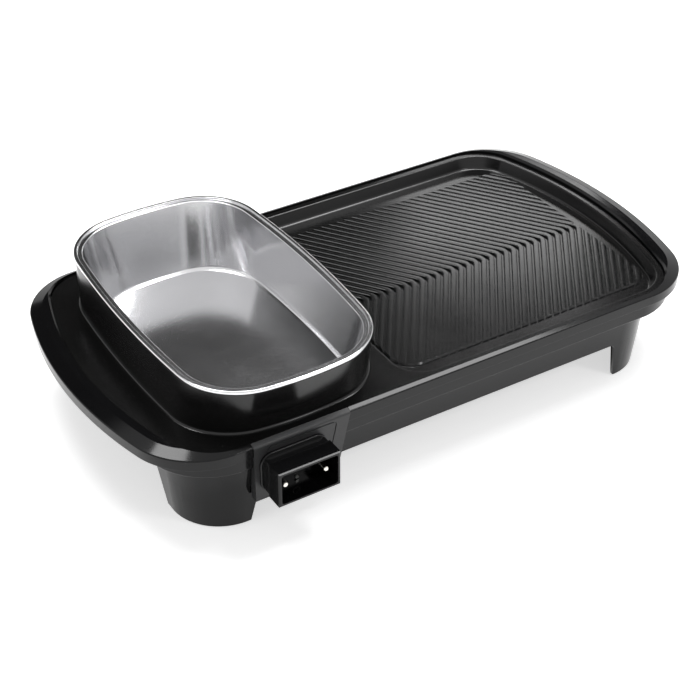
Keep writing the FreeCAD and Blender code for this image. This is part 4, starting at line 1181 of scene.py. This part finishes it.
@dataclass
class TopFrame:
    """Upper moulding with a crowned handle at each end and a ledge for the casting."""

    handle_bevel: float = 11.0
    lip_round: float = 1.4
    ridge_round: float = 2.5
    foot_round: float = 0.5
    skin: float = 3.0
    inner_wall: float = 2.5
    under_z: float = 78.9
    ledge: float = 3.0
    # The bevel round the opening's brim: depth of its foot, depth and width of its upper end, and
    # how far the cutter spreads above it.
    bevel_depth: float = 2.2
    bevel_top_depth: float = 0.3
    bevel_width: float = 1.4
    bevel_flare: float = 2.8

    def body(self) -> bpy.types.Object:
        """Model the outside of the moulding.

        Returns:
            The body, solid.
        """
        outline = PLAN.frame()
        rise = PLAN.ridge_z - PLAN.lip_z
        slope = math.atan2(rise, self.handle_bevel)
        turn = math.pi / 2 - slope
        reach = self.lip_round * math.tan(turn / 2)
        sections = foot_edge(outline, PLAN.parting_z, self.foot_round, steps=3)
        sections += rounding(outline, self.lip_round, PLAN.lip_z - reach, self.lip_round,
                             OUT, math.degrees(turn), steps=5)
        ridge_reach = self.ridge_round * math.tan(slope / 2)
        centre = self.handle_bevel + ridge_reach
        start = UP - math.degrees(slope)
        sections += rounding(outline, centre, PLAN.ridge_z - self.ridge_round, self.ridge_round,
                             start, UP, steps=4)
        return loft("frame_moulding", sections)

    def hollow(self) -> bpy.types.Object:
        """Model the space under the handles, closed towards the opening by the inner wall.

        Returns:
            The space, as a solid to be taken away.
        """
        outline = PLAN.frame()
        body = loft("hollow", [
            Section(outline, PLAN.parting_z - 2 * PAST, PLAN.wall),
            Section(outline, PLAN.lip_z - self.skin, PLAN.wall),
            Section(outline, PLAN.ridge_z - self.skin, PLAN.wall + self.handle_bevel)])
        core = loft("core", [Section(PLAN.opening(), self.under_z, -self.inner_wall),
                             Section(PLAN.opening(), PLAN.ridge_z + 2 * PAST, -self.inner_wall)])
        return combine(body, core, Cut.TAKE)

    def opening(self) -> bpy.types.Object:
        """Model the opening, with the ledge for the casting and a small bevel round its brim.

        Returns:
            The space, as a solid to be taken away.
        """
        edge = PLAN.opening()
        return loft("opening", [
            Section(edge, PLAN.parting_z - 4 * PAST, self.ledge),
            Section(edge, PLAN.seat_z, self.ledge), Section(edge, PLAN.seat_z),
            Section(edge, PLAN.ridge_z - self.bevel_depth),
            Section(edge, PLAN.ridge_z - self.bevel_top_depth, -self.bevel_width),
            Section(edge, PLAN.ridge_z + PAST, -self.bevel_flare)])

    def build(self) -> None:
        """Model the moulding."""
        piece = self.body()
        combine(piece, self.hollow(), Cut.TAKE)
        combine(piece, self.opening(), Cut.TAKE)
        back = -PLAN.half_depth + PLAN.opening_side + self.ledge + 2 * PAST
        notch = panel_notch(PLAN.parting_z - 3 * PAST, PLAN.ridge_z + 3 * PAST, back)
        combine(piece, notch, Cut.TAKE)
        settle(piece, GLOSS_MOULDING, Body.BASE, "moulded_black", "top_frame")


def panel_slab(name: str, y: Pair, z: Pair, inset: float = 0.0) -> bpy.types.Object:
    """Model a slab with the outline of the inlet panel, whose right side leans.

    Args:
        name: name of the new object.
        y: front and back y.
        z: low and high z.
        inset: distance that its sides are drawn in.

    Returns:
        The new object.
    """
    right_low, right_high = (PLAN.panel_right - PLAN.panel_lean * (PLAN.flange_z - level) - inset
                             for level in z)
    piece = block(name, (PLAN.panel_left + inset, right_high), y, z)
    shift_corners(piece, lambda place: place.x > right_high - NEAR and place.z < z[0] + NEAR,
                  (right_low - right_high, 0, 0))
    return piece


def panel_notch(low: float, high: float, back: float) -> bpy.types.Object:
    """Model the gap that the inlet panel hangs in, as a solid to be taken away.

    Args:
        low: lower height.
        high: upper height.
        back: back y.

    Returns:
        The new object.
    """
    return panel_slab("notch", (-PLAN.half_depth - 5 * PAST, back), (low, high), -PLAN.gap)


@dataclass
class LowerShell:
    """Stepped tub: a shelf under the handles and a deep middle."""

    inset_end: float = 11.5
    inset_side: float = 1.5
    corner: float = 60.0
    tongue: float = 3.2
    tongue_gap: float = 0.2
    tongue_in: float = 0.3
    shelf_round: float = 2.0
    tub_left: float = -246.5
    tub_right: float = 230.5
    lean_left: float = 6.5
    lean_right: float = 3.0
    lean_side: float = 9.0
    side: float = 4.0
    corner_top: float = 50.0
    corner_foot: float = 45.0
    vent_count: int = 9
    vent_width: float = 5.0
    vent_length: float = 64.0
    vent_pitch: float = 22.0
    # Share of a vent's half width that its corners are rounded by, so that the rounds don't meet.
    vent_round: float = 0.98

    def shelf(self) -> Outline:
        """Outline the shelf.

        Returns:
            An outline parallel to the frame's ends.
        """
        reach = PLAN.half_length - self.inset_end
        bow = PLAN.end_r - self.inset_end
        return Outline(-reach, reach, PLAN.half_depth - self.inset_side, self.corner, self.corner,
                       bow, bow)

    def tub(self, z: float) -> Outline:
        """Outline the tub, and the legs that carry its walls on.

        Args:
            z: height.

        Returns:
            The outline at that height.
        """
        share = z / PLAN.shelf_z
        corner = self.corner_foot + (self.corner_top - self.corner_foot) * share
        drawn_in = 1 - share
        return Outline(self.tub_left + self.lean_left * drawn_in,
                       self.tub_right - self.lean_right * drawn_in,
                       PLAN.half_depth - self.side - self.lean_side * drawn_in, corner, corner)

    def tub_body(self, name: str, foot_z: float, top_z: float, inset: float) -> bpy.types.Object:
        """Model the tub between two heights.

        Args:
            name: name of the new object.
            foot_z: lower height.
            top_z: upper height.
            inset: distance that its sides are drawn in.

        Returns:
            The new object.
        """
        return loft(name, [Section(self.tub(z), z, inset) for z in (foot_z, top_z)])

    def outside(self) -> bpy.types.Object:
        """Model shelf, tub and tongue.

        Returns:
            The body, solid.
        """
        shelf = self.shelf()
        top = PLAN.parting_z - self.tongue_gap
        sections = foot_edge(shelf, PLAN.shelf_z, self.shelf_round, steps=4)
        sections.append(Section(shelf, top))
        piece = loft("shell_moulding", sections)
        tub = self.tub_body("tub", PLAN.shell_floor_z, PLAN.shelf_z + PAST, 0)
        combine(piece, tub, Cut.ADD)
        return combine(piece, self.tongue_body(), Cut.ADD)

    def inside(self) -> bpy.types.Object:
        """Model the space in the shelf and in the tub.

        Returns:
            The space, as a solid to be taken away.
        """
        floor_z = PLAN.shelf_z + PLAN.wall
        space = loft("shelf_space", [Section(self.shelf(), z, PLAN.wall)
                                     for z in (floor_z, PLAN.parting_z + 6 * PAST)])
        tub = self.tub_body("tub_space", PLAN.shell_floor_z + PLAN.wall, floor_z + PAST, PLAN.wall)
        return combine(space, tub, Cut.ADD)

    def tongue_body(self) -> bpy.types.Object:
        """Model the outside of the thin tongue on the rim that locates the frame.

        Returns:
            The body, solid.
        """
        inset = PLAN.wall + self.tongue_gap
        low = PLAN.parting_z - 2 * PAST
        high = PLAN.parting_z + self.tongue
        body = loft("tongue", [Section(self.shelf(), z, self.tongue_in) for z in (low, high)])
        limit = loft("tongue_limit", [Section(PLAN.frame(), z, inset)
                                      for z in (low - PAST, high + PAST)])
        return combine(body, limit, Cut.KEEP)

    def vents(self) -> bpy.types.Object:
        """Model two rows of slots with round ends.

        Returns:
            The slots, as solids to be taken away.
        """
        half = self.vent_width / 2
        y = self.vent_length / 2 + self.vent_width
        first_x = -(self.vent_count - 1) / 2 * self.vent_pitch
        slot = block("vents", (first_x - half, first_x + half),
                     (y - self.vent_length / 2, y + self.vent_length / 2),
                     (PLAN.shell_floor_z - PAST, PLAN.shell_floor_z + PLAN.wall + PAST))
        bevel_edges(slot, lambda a, b: abs(a.z - b.z) > PAST, half * self.vent_round, segments=6)
        slots = [slot] + [copy_of(slot, self.vent_pitch * index) for index in range(1, self.vent_count)]
        slots += [copy_of(piece, y=-2 * y) for piece in list(slots)]
        return join(slots)

    def build(self) -> None:
        """Model the shell."""
        piece = self.outside()
        combine(piece, self.inside(), Cut.TAKE)
        combine(piece, self.vents(), Cut.TAKE)
        combine(piece, panel_notch(PLAN.shell_floor_z + PLAN.wall, PLAN.parting_z + 6 * PAST,
                                   -self.tub(0).half_y), Cut.TAKE)
        settle(piece, GLOSS_MOULDING, Body.BASE, "moulded_black", "lower_shell")


@dataclass
class Leg:
    """One hollow corner leg, open towards the inside and cut off along a slant."""

    node: str
    edge_round: float = 0.3
    flat_degrees: float = 1.0

    def build(self) -> None:
        """Take a copy of the leg's solid, clean its flat faces and round its edges."""
        piece = copy_of(frame["nodes"][self.node])
        piece.name = f"{self.node}_moulding"
        with editing(piece, Element.CORNER):
            bpy.ops.mesh.select_all(action="SELECT")
            bpy.ops.mesh.remove_doubles(threshold=MERGE_MM * MM)
            bpy.ops.mesh.dissolve_limited(angle_limit=math.radians(self.flat_degrees))
        soften(piece, self.edge_round, PLAN.shell_floor_z - self.edge_round)
        settle(piece, GLOSS_MOULDING, Body.BASE, "moulded_black", self.node, shift=0.0)


# Inlet


def inlet_window(y: Pair) -> bpy.types.Object:
    """Model the window behind the inlet that the pin block fills, as a solid to be taken away.

    Args:
        y: front and back y.

    Returns:
        The new object.
    """
    return block("window", (PLAN.inlet_x - PLAN.window_half_x, PLAN.inlet_x + PLAN.window_half_x), y,
                 (PLAN.inlet_z - PLAN.window_half_z, PLAN.inlet_z + PLAN.window_half_z))


@dataclass
class InletPanel:
    """Panel that hangs from the casting and closes the notch in the base."""

    foot_z: float = 31.0
    thick: float = 3.5
    back: float = 4.0
    wall: float = 2.0
    brow_z: float = 84.65
    crown_z: float = 86.4
    brow_round: float = 1.4
    groove_inset: float = 11.2
    groove_foot_z: float = 36.0
    groove_top_z: float = 82.0
    groove_corner: float = 5.0
    groove_width: float = 1.0
    groove_depth: float = 0.6
    tab_width: float = 14.0
    tab_depth: float = 11.5
    tab_thick: float = 3.0
    tab_inset: float = 12.0
    edge_round: float = 0.4

    def face(self) -> bpy.types.Object:
        """Model the face with its returns at the sides and the foot.

        Returns:
            The face, to which the rest of the panel is joined.
        """
        front = PLAN.panel_face_y
        behind = front + self.thick
        piece = panel_slab("inlet_face", (front, behind + self.back), (self.foot_z, PLAN.seat_z))
        space = panel_slab("space", (behind, behind + self.back + PAST),
                           (self.foot_z + self.wall, PLAN.seat_z + PAST), self.wall)
        return combine(piece, space, Cut.TAKE)

    def lip(self) -> bpy.types.Object:
        """Model the lip over the face that carries on the slope of the frame's front edge.

        Returns:
            The new object.
        """
        front = PLAN.panel_face_y
        back = -PLAN.half_depth + PLAN.opening_side
        piece = panel_slab("lip", (front, back), (PLAN.seat_z - PAST, self.crown_z))
        shift_corners(piece, lambda place: place.z > self.crown_z - NEAR and place.y < front + NEAR,
                      (0, 0, self.brow_z - self.crown_z))
        bevel_edges(piece, lambda a, b: (min(a.z, b.z) > self.brow_z - NEAR
                                         and max(a.y, b.y) < front + NEAR),
                    self.brow_round, segments=5)
        return piece

    def groove(self) -> bpy.types.Object:
        """Model the fine groove round the flange of the inlet.

        Returns:
            The groove, as a solid to be taken away.
        """
        front = PLAN.panel_face_y
        rings = []
        for step in (0.0, self.groove_width):
            ring = panel_slab("groove", (front - PAST - step, front + self.groove_depth + step),
                              (self.groove_foot_z + step, self.groove_top_z - step),
                              self.groove_inset + step)
            bevel_edges(ring, lambda a, b: abs(a.y - b.y) > self.groove_depth,
                        self.groove_corner - step, segments=8)
            rings.append(ring)
        return combine(rings[0], rings[1], Cut.TAKE)

    def build(self) -> None:
        """Model the panel."""
        piece = self.face()
        combine(piece, self.lip(), Cut.ADD)
        behind = PLAN.panel_face_y + self.thick
        combine(piece, inlet_window((PLAN.panel_face_y - PAST, behind + PAST)), Cut.TAKE)
        right = PLAN.panel_right - PLAN.panel_lean * (PLAN.flange_z - PLAN.seat_z)
        for x in (PLAN.panel_left + self.tab_inset, right - self.tab_inset):
            tab = block("tab", (x - self.tab_width / 2, x + self.tab_width / 2),
                        (behind - PAST, behind + self.tab_depth),
                        (PLAN.seat_z - self.tab_thick, PLAN.seat_z))
            combine(piece, tab, Cut.ADD)
        soften(piece, self.edge_round)
        combine(piece, self.groove(), Cut.TAKE)
        # The panel's lighter grey is a painted sheen on the same moulding.
        settle(piece, SATIN_MOULDING_PAINTED_SHEEN, Body.TOP, "moulded_black", "inlet_panel")


@dataclass
class InletHousing:
    """Open box round the pins, with a step in its sides and a flange against the panel."""

    half_x: float = 28.0
    half_z: float = 16.65
    face_y: float = -180.3
    step_y: float = -163.7
    step: float = 1.0
    wall: float = 1.6
    back_y: float = -158.0
    brim: float = 1.0
    flange_margin: float = 2.5
    flange_thick: float = 2.5
    flange_corner: float = 11.0
    flange_round: float = 1.0
    cavity_corner: float = 2.0
    edge_round: float = 0.35

    def bar(self, name: str, margin: float, y: Pair, corner: float = 0.0) -> bpy.types.Object:
        """Model a bar along Y about the inlet's middle.

        Args:
            name: name of the new object.
            margin: how far it stands out from the box.
            y: front and back y.
            corner: radius of its four long edges.

        Returns:
            The new object.
        """
        half_x = self.half_x + margin
        half_z = self.half_z + margin
        piece = block(name, (PLAN.inlet_x - half_x, PLAN.inlet_x + half_x), y,
                      (PLAN.inlet_z - half_z, PLAN.inlet_z + half_z))
        if corner:
            bevel_edges(piece, lambda a, b: abs(a.y - b.y) > NEAR, corner, segments=8)
        return piece

    def build(self) -> None:
        """Model the housing."""
        panel_y = PLAN.panel_face_y
        flange_y = panel_y - self.flange_thick
        piece = self.bar("inlet_collar", 0, (self.face_y, self.step_y))
        bevel_edges(piece, lambda a, b: max(a.y, b.y) < self.face_y + NEAR, self.brim, segments=1)
        flange = self.bar("flange", self.flange_margin, (flange_y, panel_y), self.flange_corner)
        bevel_edges(flange, lambda a, b: max(a.y, b.y) < flange_y + NEAR, self.flange_round,
                    segments=3)
        combine(piece, self.bar("rear", -self.step, (self.step_y - PAST, panel_y)), Cut.ADD)
        combine(piece, flange, Cut.ADD)
        cavity = self.bar("cavity", -self.step - self.wall, (self.face_y - PAST, self.back_y),
                          self.cavity_corner)
        combine(piece, cavity, Cut.TAKE)
        combine(piece, inlet_window((self.back_y - PAST, panel_y + PAST)), Cut.TAKE)
        soften(piece, self.edge_round)
        settle(piece, GLOSS_MOULDING, Body.TOP, "moulded_black", "inlet_housing")


@dataclass
class Pin:
    """Round contact pin with a domed tip and a collar behind the pin block."""

    node: str
    x: float
    z: float = 55.7
    radius: float = 2.5
    tip_y: float = -174.3
    tail_y: float = -128.0
    tip_round: float = 1.2
    collar_y: float = -148.4
    collar_thick: float = 1.2
    collar: float = 1.0
    corners: int = 40

    def rod(self, name: str, y: Pair, radius: float) -> bpy.types.Object:
        """Model a cylinder along Y.

        Args:
            name: name of the new object.
            y: front and back y.
            radius: its radius.

        Returns:
            The new object.
        """
        return peg(name, (self.x, sum(y) / 2, self.z), y[1] - y[0], radius, self.corners, math.pi / 2)

    def build(self) -> None:
        """Model the pin."""
        piece = self.rod(f"{self.node}_plated", (self.tip_y, self.tail_y), self.radius)
        bevel_edges(piece, lambda a, b: max(a.y, b.y) < self.tip_y + NEAR, self.tip_round, segments=6)
        collar = self.rod("collar", (self.collar_y, self.collar_y + self.collar_thick),
                          self.radius + self.collar)
        combine(piece, collar, Cut.ADD)
        settle(piece, NICKEL_PIN, Body.TOP, "bright_pin", self.node)


# Studio


def aim(piece: bpy.types.Object, place: Vector, back: Vector) -> None:
    """Put a camera, a lamp or a card in its place and turn it.

    Args:
        piece: the object.
        place: its place in metres.
        back: direction of its back.
    """
    piece.location = place
    piece.rotation_mode = "QUATERNION"
    piece.rotation_quaternion = (-back).to_track_quat("-Z", "Y")


@dataclass(frozen=True)
class Softbox:
    """Rectangular softbox that faces the grill.

    Its place, width and height are in metres. Its radiance is the brightness of its face, where 1
    is white.
    """

    name: str
    place: tuple[float, float, float]
    size: Pair
    radiance: float

    def hang(self) -> None:
        """Hang the softbox in the studio."""
        width, height = self.size
        data = bpy.data.lights.new(self.name, "AREA")
        data.shape = "RECTANGLE"
        data.size, data.size_y = width, height
        data.energy = self.radiance * math.pi * width * height
        lamp = bpy.data.objects.new(self.name, data)
        bpy.context.scene.collection.objects.link(lamp)
        aim(lamp, Vector(self.place), Vector(self.place))


@dataclass
class Studio:
    """Camera, softboxes, white paper, a glowing dark card at the back that only reflections show,
    painting dark reflections into the mouldings, and the room around them.

    The camera's place is in millimetres; the studio's other sizes are in metres.
    """

    camera_place: tuple[float, float, float] = (-635.63, -992.99, 864.65)
    camera_back: tuple[float, float, float] = (-0.4284, -0.6909, 0.5825)
    sensor_mm: float = 36.0
    lens_in_widths: float = 16 / 7
    # The first three are seen in the flat tops, the fourth in the handle's front corner and the
    # last in the ribs.
    softboxes: tuple[Softbox, ...] = (
        Softbox("overhead_right", (0.75, 0.2, 1.6), (1.1, 0.45), 12.0),
        Softbox("overhead_left", (-0.38, 0.5, 1.6), (0.5, 0.5), 12.0),
        Softbox("overhead_back", (0.4, 0.8, 1.6), (0.6, 0.35), 12.0),
        Softbox("front_right", (0.72, -1.6, 1.6), (0.4, 0.3), 14.0),
        Softbox("low_back_right", (1.1, 1.24, 0.98), (0.4, 0.2), 5.5),
    )
    room_light: float = 0.4
    paper_white: str = "f4f4f4"
    paper_glow: float = 0.6
    paper_roughness: float = 0.9
    paper_size: Pair = (20.0, 20.0)
    # Grey glow of the card, seen only in reflections: it paints dark reflections into the black
    # mouldings.
    reflection_glow_grey: str = "303030"
    card_direction: tuple[float, float, float] = (0.25, 0.72, 0.62)
    card_distance: float = 2.2
    card_size: Pair = (4.0, 1.5)

    def camera(self) -> None:
        """Set the camera where the photograph was taken from."""
        data = bpy.data.cameras.new("camera")
        data.sensor_width = self.sensor_mm
        data.sensor_fit = "HORIZONTAL"
        data.lens = self.lens_in_widths * self.sensor_mm
        camera = bpy.data.objects.new("camera", data)
        bpy.context.scene.collection.objects.link(camera)
        aim(camera, Vector(self.camera_place) * MM, Vector(self.camera_back))
        bpy.context.scene.camera = camera

    def sheet(self, name: str, size: Pair, finish: bpy.types.Material) -> bpy.types.Object:
        """Lay a flat sheet at the origin, as a part of the studio.

        Args:
            name: name of the new object.
            size: width and height in metres.
            finish: its material.

        Returns:
            The new object.
        """
        deselect()
        bpy.ops.mesh.primitive_plane_add(size=1)
        made = bpy.context.object
        made.name = name
        made.scale = (*size, 1)
        bpy.ops.object.transform_apply(location=False, rotation=False, scale=True)
        made.data.materials.append(finish)
        return made

    def seen(self, tree: bpy.types.NodeTree) -> bpy.types.NodeSocket:
        """Tell what is seen from the light that falls on the grill.

        Args:
            tree: the node tree of the world or of the paper.

        Returns:
            1 for rays from the camera, a mirror or glass, and 0 for the rest of the light.
        """
        path = add_node(tree, "ShaderNodeLightPath")
        either = add_node(tree, "ShaderNodeMath", {"operation": "ADD"}, {
            0: path.outputs["Is Camera Ray"], 1: path.outputs["Is Glossy Ray"]})
        any_of = add_node(tree, "ShaderNodeMath", {"operation": "ADD", "use_clamp": True}, {
            0: either.outputs["Value"], 1: path.outputs["Is Transmission Ray"]})
        return any_of.outputs["Value"]

    def world(self) -> None:
        """Make the room white wherever it is seen, and grey for the rest of the light."""
        world = bpy.data.worlds.new("studio")
        tree = empty_tree(world)
        strength = add_node(tree, "ShaderNodeMix", {"data_type": "FLOAT"}, {
            "Factor": self.seen(tree), NUMBER_A: self.room_light, NUMBER_B: 1.0})
        background = add_node(tree, "ShaderNodeBackground", None, {
            "Color": (1, 1, 1, 1), "Strength": strength.outputs[NUMBER_OUT]})
        add_node(tree, "ShaderNodeOutputWorld", None, {"Surface": background.outputs["Background"]})
        bpy.context.scene.world = world

    def paper(self) -> bpy.types.Material:
        """Make white paper that burns out wherever it is seen, and still takes the grill's shadow.

        Returns:
            The material of the floor.
        """
        made = bpy.data.materials.new("white_paper")
        tree = empty_tree(made)
        glow = add_node(tree, "ShaderNodeMath", {"operation": "MULTIPLY"}, {
            0: self.seen(tree), 1: self.paper_glow})
        shader = add_node(tree, "ShaderNodeBsdfPrincipled", None, {
            "Base Color": linear(self.paper_white), "Roughness": self.paper_roughness,
            "Specular IOR Level": 0.0, "Emission Color": (1, 1, 1, 1),
            "Emission Strength": glow.outputs["Value"]})
        add_node(tree, "ShaderNodeOutputMaterial", None, {"Surface": shader.outputs["BSDF"]})
        return made

    def painted_reflection_glow(self) -> bpy.types.Material:
        """Make the card's faint grey glow, seen only in reflections: a painted dark reflection that
        keeps the black mouldings black.

        Returns:
            The material of the card.
        """
        made = bpy.data.materials.new("painted_dark_reflection")
        tree = empty_tree(made)
        # The card glows grey instead of reflecting light: a painted dark reflection.
        shader = add_node(tree, "ShaderNodeEmission", None, {"Color": linear(self.reflection_glow_grey)})
        add_node(tree, "ShaderNodeOutputMaterial", None, {"Surface": shader.outputs["Emission"]})
        return made

    def card(self) -> None:
        """Stand the dark card where only reflections show it."""
        card = self.sheet("dark_card", self.card_size, self.painted_reflection_glow())
        towards = Vector(self.card_direction).normalized()
        aim(card, towards * self.card_distance, towards)
        card.visible_camera = False
        card.visible_diffuse = False
        card.visible_shadow = False

    def build(self) -> None:
        """Set up the view, the light and the floor."""
        self.camera()
        self.world()
        for softbox in self.softboxes:
            softbox.hang()
        self.card()
        self.sheet("floor", self.paper_size, self.paper())
        bpy.context.scene.view_settings.view_transform = "Standard"


def dress_nodes() -> None:
    """Give every solid that stays in view the finish of its slot."""
    slots = {row["node"]: row["material_slot"] for row in frame["record"]["subparts"]}
    for name, node in frame["nodes"].items():
        finish = FINISH_OF_SLOT[slots[name]]
        for slot in node.material_slots:
            slot.material = finish.material()
        LOG.info("%s: %s", name, finish.name)


def main() -> None:
    """Dress the solids, build each sub-assembly in order and set up the studio."""
    logging.basicConfig(level=logging.INFO, format="%(message)s")
    dress_nodes()
    Pot().build()
    Casting().build()
    TopFrame().build()
    LowerShell().build()
    for end in ("front", "back"):
        for side in ("left", "right"):
            Leg(f"leg_{end}_{side}").build()
    InletPanel().build()
    InletHousing().build()
    for side, way in (("left", -1), ("right", 1)):
        Pin(f"terminal_pin_{side}", PLAN.inlet_x + way * PLAN.pin_spacing / 2).build()
    Studio().build()


if __name__ == "__main__":
    main()
